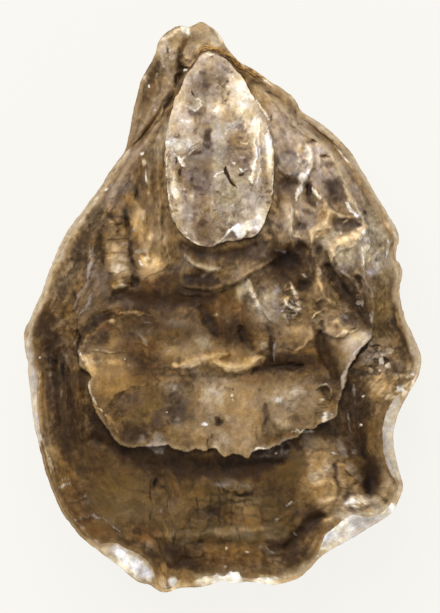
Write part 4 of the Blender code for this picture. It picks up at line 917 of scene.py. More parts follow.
        (2.8, 2, 1.2, 0.4), (17.2, 0.8, 0.8, 0.4)]),
    # honey marks; along the ridge at y -9 to -12 they are partly painted light, where the ridge catches the
    # light
    ("honey", 0.2, [([(4, 6.9), (6.4, 7.7), (8.6, 9.2)], 0.5, 0.5), ([(-9.6, -11.2), (-6.2, -10.9),
        (-3.8, -9.8), (-1, -8.9)], 1.1, 0.75), ([(-2.6, -10.2), (0.2, -11.2), (2.8, -11.6), (5.4, -10.8),
        (7.4, -9.7)], 1.1, 0.8), (14.6, -4.9, 1.8, 1.2, 0.15), (18.9, 4.4, 0.8, 1.6, 0.5),
        (21, -4.4, 1.3, 1, 0.7), (22.6, -2.3, 1.4, 0.6, -10, 0.6), ([(17.2, -3.6), (17.2, -5.8),
        (15.8, -7.6), (13.6, -8.6)], 0.4, 0.7), ([(12.2, 2.6), (12.8, 1.4)], 0.4, 0.7),
        ([(12, 1.2), (13.6, 0.4), (15.2, -0.3)], 0.5, 0.8), (20, 1.6, 1.6, 0.6, 0.5),
        (6.8, -9.4, 0.8, 0.5, 0.5)]),
    # gold marks; along the ridge at y -9 to -12 they are partly painted light
    ("gold", 0.3, [([(-8.4, -11.4), (-6.2, -11.3), (-4.4, -10.4)], 0.35, 0.6),
        ([(-3.4, -9.8), (-1.4, -9.2), (0.8, -9)], 0.35, 0.6), ([(-1.6, -10.7), (0.4, -11.6), (2.6, -12),
        (4.8, -11.3)], 0.5, 0.9), (1.4, -11.2, 1.2, 0.5, -15, 0.8),
        ([(17.6, -1.6), (18.3, -0.7), (19.6, -0.2)], 0.3, 0.7),
        ([(22.4, -5.8), (24, -4.7), (26.2, -3.9)], 0.25, 0.8),
        ([(12.4, 1.1), (13.8, 0.3), (15, -0.2)], 0.25, 0.7), (6, 9, 0.9, 0.3, 20, 0.5),
        (14.2, -4.6, 0.8, 0.4, 0.4)]),
    ("sand", 0.2, [([(4.9, 5.7), (5.6, 3.6), (6.5, 1.6), (7.8, -0.4), (9.3, -2.4)], 0.5, 0.85),
        (12.4, 4.3, 0.5, 0.6, 0.6), ([(13.9, 4.2), (14.3, 3.2), (14.8, 2.3)], 0.5, 0.7),
        (10.6, 1, 0.8, 1.8, 0.3), (12.2, -2, 0.6, 0.9, 0.6), (9.6, -0.2, 0.9, 0.7, 0.5),
        (8.2, 2, 0.5, 1, 20, 0.4)]),
    ("lilac", 0.3, [(-3.6, 6.6, 1, 0.3, 10, 0.6), (8.6, -1.6, 1.2, 1.6, 20, 0.5),
        (10.8, 3.4, 1, 1.4, 0.5), (7.6, 3.4, 0.7, 1, 0.4), (-15.6, -5, 1.2, 0.6, -30, 0.4),
        ([(10.2, -6.4), (9.9, -10)], 0.25, 0.7), (13.2, -1.8, 0.8, 0.5, 0.5),
        ([(10.4, 11.6), (12.4, 10.8)], 0.25, 0.6), (24.4, -1.6, 0.8, 0.3, -30, 0.5),
        ([(-15.6, -2.6), (-14, -3), (-13.4, -3.8)], 0.25, 0.5)]),
    ("cream", 0.3, [([(13.4, 5.6), (13.7, 4.4), (14.4, 2.4)], 0.2, 0.7),
        ([(15.3, 6.8), (16.5, 6.5), (17.4, 5.9)], 0.16, 0.5),
        ([(5.8, 3.2), (6.5, 1.7), (7.4, 0.2)], 0.3, 0.5), (15.2, -0.4, 0.8, 0.5, 15, 0.5),
        ([(12.2, 1.6), (12.6, 0.7), (13.8, 0)], 0.32, 0.8),
        ([(13.2, 1.8), (14.2, 0.8), (15.3, 0.1)], 0.18, 0.7),
        ([(12.2, -1.3), (12.4, -2.2), (12.7, -3.2)], 0.36, 0.8),
        ([(14.2, 0.2), (14.6, -1), (13.6, -1.8)], 0.18, 0.6), (-1.4, -1.2, 0.25, 0.6),
        (11.6, -0.6, 0.3, 0.2, 0.7), (4.6, 4.8, 0.4, 0.5, -20, 0.5), (1, -11.4, 0.8, 0.2, -10, 0.5),
        (13, -2.1, 0.3, 0.2, 0.6), ([(3, -13.4), (3.8, -13.6)], 0.16, 0.5)]),
    ("bark", 0.4, [([(12.8, -0.3), (14.4, -0.8)], 0.16, 0.6), ([(12.9, 1.6), (13.6, 2.6)], 0.2, 0.5),
        ([(12.6, -1.6), (12.9, -2.8)], 0.16, 0.5)]),
    # right folds
    # dark brown in the hollows between the right folds, partly painted shade
    ("bark", 0.5, [(9.2, 43.1, 0.6, 0.4, 0.7), (14.6, 39.4, 0.5, 0.7, 0.7), (9.6, 38.1, 0.5, 0.6, 0.6),
        (12.8, 38.8, 0.7, 0.4, -30, 0.5), (15.2, 36.4, 0.8, 0.6, -40, 0.6), (18, 33.2, 0.7, 0.4, 0.7),
        (20.4, 33.9, 0.6, 0.9, 30, 0.7), (20.3, 30.2, 1, 0.5, 0.6), (12.7, 25.2, 2, 0.7, 0.8),
        (16.9, 23.6, 0.8, 1.8, 5, 0.9), (17.3, 20.9, 1, 0.5, -15, 0.8), (22.9, 21.6, 1.2, 0.8, 35, 0.6),
        (24.2, 16.3, 2.9, 0.7, 0.4), (18.8, 10.6, 0.5, 1.8, 0.8), (18.4, 14.8, 0.6, 0.3, -30, 0.9),
        ([(20.2, 9.4), (22.2, 6.2), (24.4, 3.2), (27.2, 0.2)], 1.3, 0.85), (26.8, 6, 0.9, 0.5),
        (34, 13, 0.6, 0.5, 0.7), (29.3, 13.9, 0.4, 0.3, 0.7), (14.4, 12.2, 2.4, 0.9, 0.7),
        (26.6, 5.6, 0.9, 0.5), (17, 10, 0.5, 2.2, 0.7), (11, 15, 0.7, 4, 0.3)]),
    # umber deep in the fold hollows, partly painted shade
    ("umber", 0.5, [([(22.2, 7.2), (24.2, 4.2), (25.4, 2.6)], 0.5, 0.7), (16.5, 24.2, 0.4, 0.8, -10, 0.7),
        (17.3, 20.9, 0.6, 0.3, -15, 0.7)]),
    ("plum", 0.2, [(12.3, 24.2, 1.8, 1.1, 0.7), (21.8, 23.7, 1.7, 3, 35, 0.5),
        (19.6, 34, 2.4, 1.6, -45, 0.5), (12.8, 31.2, 1.6, 0.5), (15.6, 16.3, 1.3, 1.1, 0.8),
        ([(21, 16.6), (24, 16.6), (27, 16.5)], 1.2, 0.9), (18.7, 11.6, 0.9, 1.4, 0.8),
        (16.6, 19.1, 1.6, 0.6, -15, 0.5), (25.6, 9.4, 1.6, 0.4), (20.6, 28.4, 1.2, 0.9, 0.5),
        (13.6, 36.4, 1.6, 0.5, -40, 0.4)]),
    ("beige", 0.1, [(24.6, 10.2, 4.4, 3.2, 0.7), (30.4, 12.4, 3.6, 4.6, 20, 0.5)]),
    ("mauve", 0.1, [([(22.6, 16.4), (27, 16.2)], 1.2, 0.8), ([(24, 10.8), (24.2, 8)], 0.7, 0.7),
        ([(26.6, 10.4), (27, 7.6)], 0.7, 0.6)]),
    ("rose", 0.3, [([(24.6, 30), (25.6, 27.6), (27.2, 25)], 0.9, 0.5), (13, 15.8, 0.7, 1.6, 0.6),
        (10, 34, 1, 5, 20, 0.4), (15.4, 32.6, 1.8, 0.6, 0.5), (23, 28, 1, 2, 20, 0.4)]),
    ("lilac", 0.4, [(12.6, 29.4, 1.5, 1.4, 0.5), (29.6, 12.8, 2.4, 2, 0.6), (26.6, 10.8, 0.9, 1.2, 0.6),
        ([(23.5, 7.3), (25.6, 5.8), (27.2, 3.4), (27.8, 0.7)], 0.4, 0.6), ([(26.4, 7), (27.8, 6.6),
        (29.2, 3.8), (30, 2.2)], 0.4, 0.6), (30, 8, 1.4, 2.4, 0.5), ([(29.5, 0), (29.5, -3)], 0.3, 0.5),
        (21.4, 26.8, 0.9, 1.2, 0.4), ([(17.6, 34.4), (21, 31)], 0.5, 0.4), (8, 38, 0.8, 2.6, 30, 0.4)]),
    ("honey", 0.2, [(24.4, 13.5, 3.2, 1.2, 14, 0.85), ([(27.9, 17.4), (28, 16.2), (27.4, 14.8),
        (26.4, 13.6)], 0.45, 0.8), ([(22.2, 12.4), (21.4, 11), (21.3, 9.4)], 0.7, 0.6), ([(20.2, 20.7),
        (20.9, 18.5), (20.8, 16.8), (19.4, 15.6), (17.6, 14.9), (17.3, 13.4)], 1.1, 0.9),
        (14, 19, 0.9, 1.2, 0.8), (16, 31.8, 1.2, 0.7, 0.8), (21.2, 9.8, 0.4, 1, 0.5),
        ([(18.6, 8.6), (18.9, 5), (19.2, 3.2)], 0.5, 0.5),
        ([(22.4, 18.9), (24, 18.2), (27.6, 18)], 0.3, 0.7), (20.8, 14.4, 0.8, 1.6, 0.4),
        (33.2, 17, 0.9, 1.6, 30, 0.4), (12.2, 40.4, 0.9, 0.6, 0.4)]),
    ("gold", 0.2, [(23.4, 13.2, 1.6, 1, 10, 0.8), (25.8, 13.9, 1.3, 0.6, 14, 0.5),
        ([(20, 19.8), (20.6, 18.4), (20, 16.8)], 0.3, 0.7),
        ([(19, 15.9), (17.8, 14.8), (17.3, 13.8)], 0.3, 0.8), (14.1, 19.2, 0.5, 0.8, 0.7),
        (15.6, 31.8, 0.8, 0.3, 0.8), (26.9, 15.4, 0.6, 0.5, 0.6)]),
    ("grey", 0.5, [([(10.7, 28.4), (11.1, 27.1), (12, 26.5), (13.6, 26.3), (14.6, 27), (14.9, 28.4)],
        0.3, 0.8), ([(21.5, 31.5), (22, 27), (24, 26)], 0.2, 0.5), ([(16.4, 12.6), (16.3, 9.6),
        (17.2, 7.7), (17.4, 6.8)], 0.18, 0.35), ([(17.6, 12.2), (17.4, 10.8), (18.2, 9.6)], 0.22, 0.7),
        ([(27.4, 12), (27.9, 9.9), (27.8, 8)], 0.4, 0.8), (28, 12, 1.2, 0.3), (13, 15, 0.5, 1.6, 0.5)]),
    ("sand", 0.3, [([(14.8, 32.2), (16.4, 32.2), (17.2, 30.6), (17.3, 28.4), (16.8, 27)], 0.8, 0.8),
        (15.7, 25.8, 0.8, 1.1, -35, 0.9), ([(15, 24.6), (14.7, 22)], 0.5, 0.7), ([(21.6, 29.6),
        (23.4, 26.2), (25, 21.8), (27.2, 18.6)], 0.6, 0.6),
        ([(19.8, 21), (21.4, 19.2), (23.4, 18)], 0.4, 0.5), ([(13.3, 20.4), (13.5, 18.5), (13.1, 16.2),
        (13.5, 14.6), (14.8, 13.8)], 0.45, 0.6), (22.8, 10.4, 1.4, 1.8, 0.45), (26.4, 11.8, 1.4, 0.4),
        (29.6, 12.4, 2.4, 2.6, 0.3), (21, 14.4, 1.2, 1.4, 0.4)]),
    # cream marks on the right folds; the stroke from (24.3, 20.8) to (27.8, 18.2) is a painted highlight
    # along the ridge's crest
    ("cream", 0.4, [([(16.2, 32.2), (17.1, 31), (17.3, 29.2), (16.9, 27.4)], 0.7, 0.95),
        (15.1, 29.2, 0.5, 0.7, 0.8), (15.7, 26, 0.8, 1.1, -35, 0.95),
        ([(15.3, 25.2), (14.9, 23.4), (14.4, 21.6)], 0.45, 0.95),
        ([(17.4, 23.8), (18, 22.8), (19.2, 21.8)], 0.35, 0.8), (18.5, 21, 0.35, 0.3, 0.6),
        ([(27.9, 15.7), (27.6, 14.4), (27, 13.3)], 0.2, 0.8), ([(27.6, 10.6), (27.8, 8.6)], 0.22, 0.6),
        (23, 15, 0.35, 0.2, 0.6), ([(24.3, 20.8), (25, 19.4), (26.4, 18.5), (27.8, 18.2)], 0.34, 0.9),
        (13.5, 19.4, 0.35, 0.5, 0.8), (18.4, 14.4, 0.3, 0.2, 0.9), ([(6.5, 41.5), (7.5, 40), (8.5, 38.5),
        (9.2, 37.8)], 0.22, 0.8), (18.6, 32.6, 0.3, 0.8), (16.6, 27, 0.4, 0.8),
        (14.6, 30.6, 0.4, 0.3, 0.6), (13.2, 17, 0.25, 0.8, 0.6)]),
    # white shards; the stroke from (25, 19.3) to (27.4, 18.3) is a painted highlight on the ridge's crest
    ("nacre", 0.8, [([(17, 30.8), (17, 29.4)], 0.25, 0.9), (15.6, 26.1, 0.5, 0.4, 0.8),
        ([(25, 19.3), (26, 18.7), (27.4, 18.3)], 0.2, 0.8)]),
    # front of the middle layer
    ("rose", 0.1, [(26.8, -6.6, 3.2, 2.6, 30, 1.1), (24.4, -9.6, 2, 2.6, 10, 0.4)]),
    ("slate", 0.1, [(-9.6, -17.6, 2.8, 3.4, 0.6), (-9.6, -22.4, 1.8, 2.4, 0.5)]),
    ("bark", 0.3, [(-9.4, -18.8, 2.8, 4, 0.7), (-12.6, -22.6, 1.8, 0.5), (-16.6, -24.6, 2.4, 2, 0.6)]),
    ("olive", 0.1, [(-14.2, -18.4, 3, 2.4, 0.6), (-14.6, -21.8, 2.2, 1.6, 0.4)]),
    ("lilac", 0.1, [([(-14.6, -27.2), (-11.4, -27)], 1.1, 0.95), (-12.9, -25.8, 1.5, 0.9),
        (-10.4, -15.4, 1.6, 1, 0.5)]),
    ("tan", 0.1, [(3.4, -24.6, 2.6, 3, 0.5)]),
    ("brown", 0.1, [(-9, -26.4, 3.6, 2.4, 0.6), (-3.6, -26.8, 2, 0.5), (8.4, -26, 2.4, 2, 0.7),
        (-19.6, -26, 2.6, 1.8, -30, 0.6)]),
    ("bark", 0.1, [(-24.6, -5.8, 3, 1.9, 10, 0.9), (-16, -2, 5, 2.4, 0.5), (20.4, 6.4, 2, 2.4, 0.5)]),
    ("beige", 0.1, [(9.6, -1.6, 3.6, 2.4, 0.4), (20, -1.8, 2, 1.6, 0.4)]),
    ("sand", 0.3, [(-2, -17.8, 2.8, 2.6, 0.7), (12, -17.4, 3.4, 1.8, 0.6), (11.8, -22.6, 1.6, 1.8, 0.5),
        (26.4, -6.2, 2.2, 1.6, 35, 0.85), (-0.4, -26.4, 1.6, 2.2, 0.5), (1.2, -21.6, 0.9, 0.7, 0.6),
        (-1, -18.5, 1, 0.8, 0.6), (-3.4, -19.8, 1.6, 1.4, 0.5), (14.6, -16.6, 1.8, 0.8, 0.4),
        (24, -10, 1.6, 1.2, 0.4)]),
    ("plum", 0.4, [(-8.4, -19.2, 1.7, 2.6, 0.8), (-12.8, -22, 1.8, 2.2, 0.7), (-11.2, -11, 0.8, 0.5, 0.7),
        (-19, -17.6, 2.6, 1.4, -20, 0.6), (8.5, -22, 0.8, 3.2, 0.6), (14.6, -22.4, 1.4, 0.4),
        (-18, -25.4, 2, 1.4, 0.6), (17, -12, 1.6, 1, -20, 0.5), (-6.2, -21.6, 0.8, 1.4, 0.4)]),
    ("bark", 0.5, [([(-19.5, -16.4), (-21.5, -18.4), (-23, -20.6)], 0.8, 0.45),
        (-9, -18.6, 0.9, 1.5, 0.5), (-0.6, -22.6, 0.9, 0.7), (-6, -15.2, 0.3, 0.35, 0.7),
        ([(-3, -25), (-3, -28)], 0.3, 0.6), (10.6, -27.2, 1.4, 0.7, 10, 0.8), (14.6, -27, 1.2, 0.9, 0.8),
        (1.8, -16, 0.35, 0.3, 0.5), (7, -16.2, 0.4, 0.3, 0.5), ([(12.6, -17.8), (14, -17.8)], 0.15, 0.7),
        (6.4, -24.4, 0.3, 1.6, 0.4), (20.2, -23.4, 1.4, 1, 0.6), (19.6, -16.3, 0.8, 0.6, 0.6),
        (-13.6, -13, 2.4, 0.8, 0.4)]),
    ("lilac", 0.4, [([(-15, -24.3), (-11.4, -27.4)], 0.7, 0.6), (-15.8, -25.8, 1.2, 1, 0.4),
        (-9.2, -21.8, 0.7, 0.6, 0.5), (8, -29, 1.6, 0.8, 0.4), (20.2, -21, 0.7, 0.5, 30, 0.6), ([(29, -5),
        (27.4, -7.8), (25.6, -9.6), (24.6, -12), (24, -14), (23.9, -16)], 0.35, 0.8),
        (16.4, -24.2, 1.6, 0.3, 0.5)]),
    ("slate", 0.1, [(9, -28.4, 3.6, 1.5, 6, 1), (12.6, -26.9, 1.8, 1.3, 20, 0.9),
        (17.2, -26, 1.6, 2, -10, 0.6)]),
    ("bark", 0.3, [(7.6, -28.6, 1.6, 0.9, 0.7), (10.4, -28.4, 1.2, 0.8, 30, 0.8),
        (12.8, -27.4, 1, 0.7, 0.7)]),
    ("cream", 0.6, [([(6.2, -28), (7.6, -27.7), (8.8, -27.9)], 0.2, 0.8),
        ([(9.8, -28.8), (11, -28.4), (12.8, -26.6)], 0.16, 0.6),
        ([(13.4, -24.2), (16, -24.4), (18.4, -24.2)], 0.2, 0.7), (20.6, -21.6, 1.2, 0.9, 30, 0.7)]),
    ("cream", 0.7, [(11.2, -18, 0.9, 0.6, 0.7), ([(-26.6, -14), (-26.4, -16.5), (-25, -19.5),
        (-24, -20.3)], 0.2, 0.7), (-10.5, -22.4, 0.4, 0.3, 0.5), (-11.4, -20.5, 0.25, 0.2, 0.9),
        (1.7, -17.2, 0.3, 0.4, 0.9), (1.8, -18.2, 0.25, 0.3, 0.8), (-2.4, -22, 0.6, 0.4, 0.6),
        (-3.4, -23.2, 0.7, 0.4, 0.6), ([(6.5, -27.6), (8.6, -27.8)], 0.2, 0.8),
        ([(13.8, -23.6), (15, -24.2), (17, -24.1)], 0.16, 0.8), ([(19, -15.2), (20.5, -15.2),
        (21.3, -16.2), (21.2, -17.6)], 0.2, 0.5), (19.2, -18, 1.1, 0.4, 5, 0.8),
        (20.2, -20.9, 0.4, 0.3, 0.7), ([(28.9, -5.4), (27.4, -7.6), (25.8, -9.2)], 0.18, 0.6),
        (2, -15.9, 0.5, 0.16, 0.5)]),
    ("honey", 0.4, [(-26, -12, 1.2, 1.4, 0.5), ([(-23, -21), (-21.2, -24.6)], 0.5, 0.5),
        (-8.4, -25.4, 1.2, 1.4, 0.5), (4.4, -18.4, 1.2, 1.6, 0.4), (3.8, -27.4, 1.2, 1.4, 0.4)]),
]
newestPaint = [  # only on the newest growth, below the plate's front edge and out to the margin
    # the pale lip along the margin, and the amber line inside it
    ("beige", 0.2, [([(-18.4, 32.6), (-20.4, 30.4), (-23.2, 26.6), (-26.2, 22.2), (-29.4, 17.6),
        (-32, 12.6), (-34.2, 7.6), (-35.6, 3.6)], 1.4, 0.95), ([(-37.6, 0), (-38.8, -4), (-38.4, -8),
        (-37.6, -13), (-37.6, -20), (-36.8, -26), (-34.8, -32.4)], 0.7, 0.8), ([(35, 2), (35.6, -0.6),
        (37.6, -5), (38.6, -9), (38.4, -12.6)], 0.8, 0.85),
        ([(33.4, 9.4), (34.6, 7.6), (34.4, 4)], 0.6, 0.7), ([(15.4, 38.6), (19.4, 35.8), (23, 32.4),
        (26, 28.2), (28.8, 23.8)], 0.6, 0.7), (-3.8, -53.8, 2.6, 1, 0.8)]),
    ("tan", 0.2, [([(-10.6, 43.4), (-11.7, 41.4), (-13.1, 38.8), (-15.2, 35.9), (-17.4, 33.4)],
        0.75, 0.9)]),
    # umber in the groove beside the beak, partly painted shade
    ("umber", 0.3, [([(-10, 43.4), (-10.7, 41.7), (-11.6, 40), (-12.8, 38), (-14, 36.2)], 0.42, 0.9),
        ([(-18.6, 32.4), (-20, 31)], 0.2, 0.4)]),
    ("ochre", 0.2, [([(-28.4, 17), (-30.6, 12.6), (-32.8, 8), (-34.6, 4)], 0.8, 0.6),
        ([(-36.8, -13), (-36.8, -20), (-36, -25)], 0.5, 0.8),
        ([(33.8, 4), (34, 0), (35.6, -4), (37.2, -8)], 0.5, 0.8), ([(20, 34), (23.6, 30.4), (26.6, 26),
        (29.6, 21.6), (32, 17.6)], 0.6, 0.6), (-12, -53.4, 2.4, 2.6, 1), (-7.6, -53.9, 2.2, 2, 1),
        (4.8, -53.8, 1.2, 0.9, 0.7), (18.4, -48.4, 1.2, 2.4, -35, 0.6)]),
    # left
    ("tan", 0.3, [(-30.6, 7, 2, 3, 20, 0.6), (-31, -0.6, 1.6, 2.4, 20, 0.3),
        (-36.8, -23.6, 0.7, 1.6, 0.7), (-34.8, -29.6, 1.2, 3.4, -15, 0.6)]),
    ("bark", 0.4, [([(-25, 20.4), (-28.2, 14.6), (-30.4, 9.6)], 0.9, 0.6), (-34.9, -3, 1.8, 3, 15, 0.7),
        ([(-34.6, -8), (-33.6, -16), (-32.4, -24)], 0.5, 0.6),
        ([(-31.4, -10), (-31, -18), (-29.6, -27)], 0.6, 0.7), (-26, -23.6, 1.6, 4, 25, 0.7)]),
    ("umber", 0.5, [([(-35.8, 0.6), (-36.6, -2.6)], 0.7, 0.6), (-31.6, -12, 0.4, 3, 0.5),
        (-25.6, -25.6, 1, 2, 30, 0.5), (-29.6, 3, 0.5, 1.2, 20, 0.4), (-33.2, -21, 0.3, 3, 0.4),
        (-20.6, -28.4, 2.4, 0.7, -15, 0.5)]),
    ("honey", 0.4, [([(-36.9, -13.4), (-37.1, -18), (-36.8, -23)], 0.25, 0.6),
        (-34.6, 4.8, 0.7, 1, 10, 0.3), ([(-28.6, -14), (-28.8, -18), (-28.4, -22)], 0.22, 0.4)]),
    ("slate", 0.4, [([(-34.6, -9), (-34.4, -14), (-34, -20)], 0.3, 0.5),
        ([(-32.6, -10), (-32.2, -18)], 0.3, 0.4), (-31.6, -9.4, 1.4, 0.4),
        (-29, -35.6, 1.4, 0.5, 10, 0.6), (-27.2, -38.7, 1.2, 0.7, 20, 0.5),
        (-31, -35.2, 1.2, 0.5, 20, 0.4)]),
    ("grey", 0.6, [([(-32.2, -34.2), (-30.5, -34)], 0.2, 0.7), ([(-33.1, -36), (-32, -35.3),
        (-30.5, -35.1), (-30.1, -36.5), (-28.8, -36.8)], 0.2, 0.7),
        ([(-32, -38.9), (-29.7, -38.3), (-27.4, -37.4)], 0.2, 0.7), ([(-29.4, -42.4), (-27.1, -41.4),
        (-25.7, -41), (-24.4, -41.6)], 0.24, 0.8),
        ([(-24, -41.8), (-21.7, -43.9), (-19.8, -44.7)], 0.2, 0.5),
        ([(-28.8, -43.5), (-27.8, -44.3)], 0.3, 0.95), ([(-25.8, -46.2), (-25, -46.8)], 0.25, 0.9),
        ([(-35.4, -28), (-34, -33)], 0.25, 0.5)]),
    ("umber", 0.6, [(-37, -14.3, 0.4, 0.3, 0.8), (-36, -25.3, 0.5, 0.3, 0.8),
        ([(-30, -42.9), (-27.8, -42.1), (-25.6, -41.5)], 0.2, 0.6)]),
    # lower left and bottom
    ("beige", 0.1, [(4.6, -39.4, 3, 0.4), (6, -45, 8, 1.6, 0.45), (-6, -45, 5, 1, 0.3)]),
    ("rust", 0.2, [(-30.6, -38, 2, 5, -25, 0.7), (-26.6, -43.4, 3.4, 2, -35, 0.7)]),
    ("brown", 0.2, [(-21, -32.6, 5, 2, -10, 0.5), (8.4, -41, 4, 2, 0.6), (14.6, -33.6, 2.6, 3, 0.5),
        (-7, -37, 3, 1.6, 0.3)]),
    # dark brown marks and cracks, with a painted shadow below the small lamella at (4, -37)
    ("bark", 0.4, [(-27.2, -32.6, 2.6, 1.4, -20, 0.4),
        ([(-21, -45.8), (-16, -47.8), (-13.6, -50)], 0.8, 0.8), (-9.4, -48.4, 2.6, 1.3, 0.7),
        (-7.6, -51.2, 3.2, 1, 0.6), (-13, -31, 3, 2, 0.3), (-2.2, -40.4, 1.5, 1.3, 0.7),
        (4.4, -37, 2.4, 0.5, 0.8), ([(-5.6, -46.6), (0, -46.5), (6, -46.6)], 0.7, 0.4),
        ([(-14.4, -34), (-14.5, -38), (-14.4, -42)], 0.22, 0.7), ([(-11, -36), (-11.1, -40)], 0.2, 0.6),
        ([(-5.2, -37), (-5.3, -44)], 0.22, 0.7), ([(-0.8, -34), (-0.8, -44)], 0.22, 0.7),
        ([(1.6, -36), (1.7, -44)], 0.18, 0.6), ([(-1, -38.2), (6, -38.2)], 0.2, 0.7),
        ([(-8, -43.6), (-5, -43.7)], 0.2, 0.7), (-6.6, -40.7, 1.6, 0.9, 0.5),
        (-13.6, -34.8, 0.5, 1.2, 0.8), (-12, -35.8, 0.5, 0.8), ([(3, -44), (3.1, -46.4)], 0.2, 0.5),
        ([(-9.6, -44.4), (-9.6, -47.4)], 0.2, 0.5), (10.4, -36, 1.6, 0.7, 0.4),
        ([(6.4, -34.4), (6.6, -37.6)], 0.3, 0.6), (12.6, -49.6, 2.4, 1.2, 15, 0.7),
        (-17, -44.6, 1.6, 0.8, 0.5), (9.6, -46.8, 1.6, 0.7, 0.6)]),
    # umber, partly painted shade: the shadow below the plate's front edge, below the small lamella at (4,
    # -37) and in the diagonal groove
    ("umber", 0.5, [(-13.7, -34.6, 0.3, 0.8, 0.8), ([(-12, -30.4), (0, -31.2), (8, -30.6)], 1, 0.5),
        (3.8, -37, 1.6, 0.3, 0.6), (-2.6, -40.4, 0.8, 0.6, 0.5), ([(13.4, -46), (16.6, -43.8)], 0.7, 0.5),
        (10, -29.8, 2.4, 0.7, 5, 0.6), (-8.2, -50.8, 1, 0.4, 0.5)]),
    ("tan", 0.3, [([(-4, -44.8), (4, -44.6), (12, -43.8)], 0.8, 0.55), (3.4, -41.6, 1, 0.8, 0.5),
        (-19, -37.6, 1.6, 2.4, 0.3), ([(-18, -47.4), (-15, -48)], 0.3, 0.6), (11.2, -49.8, 0.8, 0.6, 0.6),
        (-4, -35.6, 1.4, 0.6, 0.3), (8.4, -44.8, 2, 0.7, 0.5), (-1.6, -51.6, 2, 0.8, 0.3)]),
    ("lilac", 0.4, [(-10, -37.6, 0.7, 0.4, 0.5), (-12.8, -40.2, 0.6, 0.4, 0.5),
        (-10.3, -45, 0.6, 0.5, 0.5), ([(-9, -44.6), (-6.4, -44.4)], 0.3, 0.5), (0.4, -35, 2, 0.5, 0.5),
        (4.4, -35.4, 1.4, 0.7, 0.4), ([(14, -44.4), (14.5, -45.6)], 0.2, 0.7),
        ([(6.6, -48), (8, -47.7), (9.4, -48.4)], 0.2, 0.7), (10, -48.6, 0.6, 0.4, 0.5),
        (-7.6, -46.4, 0.9, 0.4)]),
    # small cream marks; the spot at (-9.8, -55) is a painted highlight on the gold lobe
    ("cream", 0.7, [([(9.4, -42.4), (10.4, -42), (12.2, -41.4)], 0.12, 0.6),
        ([(12.4, -40), (13, -39.2), (14, -38.6)], 0.12, 0.6), (0.8, -48, 0.3, 0.25, 0.7),
        (5, -48.8, 0.3, 0.25, 0.6), (0.6, -51.8, 0.3, 0.25, 0.7), (-9.8, -55, 0.9, 1.3, 0.9),
        (-12, -55.9, 0.9, 0.4, 0.6), (-5, -54, 0.8, 0.4, 0.6)]),
    ("honey", 0.4, [(-12.2, -54.8, 1.1, 1.4, 0.8), (-7.4, -54, 1, 0.9, 0.5),
        (12.6, -53.2, 1.8, 0.9, 5, 0.85), ([(18.6, -48.4), (20, -46), (21, -44.6)], 0.4, 0.7),
        (21.6, -42, 1.4, 0.6, 15, 0.7), (16, -51.8, 1.2, 0.8, -30, 0.5)]),
    ("gold", 0.5, [(-12.2, -55.2, 0.7, 0.6, 0.8), (12.8, -53.6, 1.4, 0.4, 5, 0.8),
        (21.4, -41.8, 0.6, 0.25, 15, 0.8), (8, -53.8, 2.4, 0.4, 0.6)]),
    ("nacre", 0.4, [(-1.2, -54.1, 1.1, 0.9, 1), (2, -53.9, 1.6, 1.1, 1), (10, -54.5, 1.2, 0.7, 0.9)]),
    ("bark", 0.6, [(0, -54, 0.22, 0.5, 0.7)]),
    # lower right
    ("olive", 0.3, [(30.6, -25, 1.3, 6, 0.6)]),
    ("amber", 0.1, [(19.6, -33.6, 3.4, 6, 8, 1), (21.4, -39, 2.6, 1.8, 0.8),
        (24.6, -33.6, 1.6, 3, 25, 0.6)]),
    ("sand", 0.1, [(27.6, -39.6, 4.6, 2.2, 10, 1.2), (31.4, -40.4, 2, 1.6, 0.9),
        (25, -41, 2.2, 1, 20, 0.8)]),
    ("cream", 0.4, [(26, -38.8, 1.6, 0.7, 10, 0.7), (29.8, -40.2, 1.2, 1.1, 0.7),
        (28.2, -39.2, 0.8, 0.5)]),
    ("honey", 0.4, [(29.2, -40.9, 1.2, 1.1, 0.8), (27.2, -40.6, 0.7, 0.5, 0.6)]),
    ("sand", 0.2, [(33.4, -38, 1.6, 3.2, -10, 0.8), (20.4, -31.6, 1.4, 1.8, 0.6),
        (18, -33.6, 1.2, 1.6, 0.5)]),
    ("tan", 0.3, [(30.9, -20, 0.6, 2, 0.6), (32.6, -36.4, 1.5, 2.6, 0.7), (19.4, -29.4, 2, 2.4, 20, 0.6),
        (25.6, -32, 1.1, 0.9, 0.6), (23.4, -28.2, 1, 1.4, 0.4), (27, -39.6, 3.6, 1.2, 8, 0.8),
        (22, -37.4, 2.2, 1.4, 0.5), (18.6, -21.8, 1.2, 1.6, 0.5), (38.4, -12, 0.6, 2, 0.8)]),
    # dark brown, partly painted shade: the deep hollow at (29, -34) and the dark lines below the ledges
    # from (30, -8) to (33, -10)
    ("bark", 0.5, [(29.2, -33.4, 1.7, 4.4, 0.85), (25.4, -17, 1.6, 3, 0.6), (27.6, -26, 1.2, 4.6, 0.6),
        (20.4, -24.4, 2, 1.2, 0.7), (22.4, -32.4, 0.5, 2.2, 0.4), ([(22.8, -29.8), (24, -31)], 0.25, 0.8),
        ([(24, -32), (25.6, -33.4)], 0.25, 0.8), (32.3, -38.5, 0.8, 0.6, 0.8),
        ([(24.6, -35), (24, -37.4)], 0.5, 0.6), ([(29.4, -7.7), (31.6, -7.7)], 0.3, 0.85),
        ([(30.4, -8.9), (32.2, -9)], 0.3, 0.85), ([(31, -10.2), (32.8, -10.3)], 0.3, 0.8), ([(29.6, -5.4),
        (28.4, -7.8), (26.6, -9.8), (25.4, -12)], 0.4, 0.8), (27, -13, 1.4, 0.8, 0.5),
        ([(34.2, -3), (35.8, -5), (37, -8)], 0.5, 0.8), (18, -36, 0.8, 0.6, 0.4),
        (21.6, -35.4, 0.5, 0.6, 0.4), (17, -39.6, 0.9, 0.7, 0.4)]),
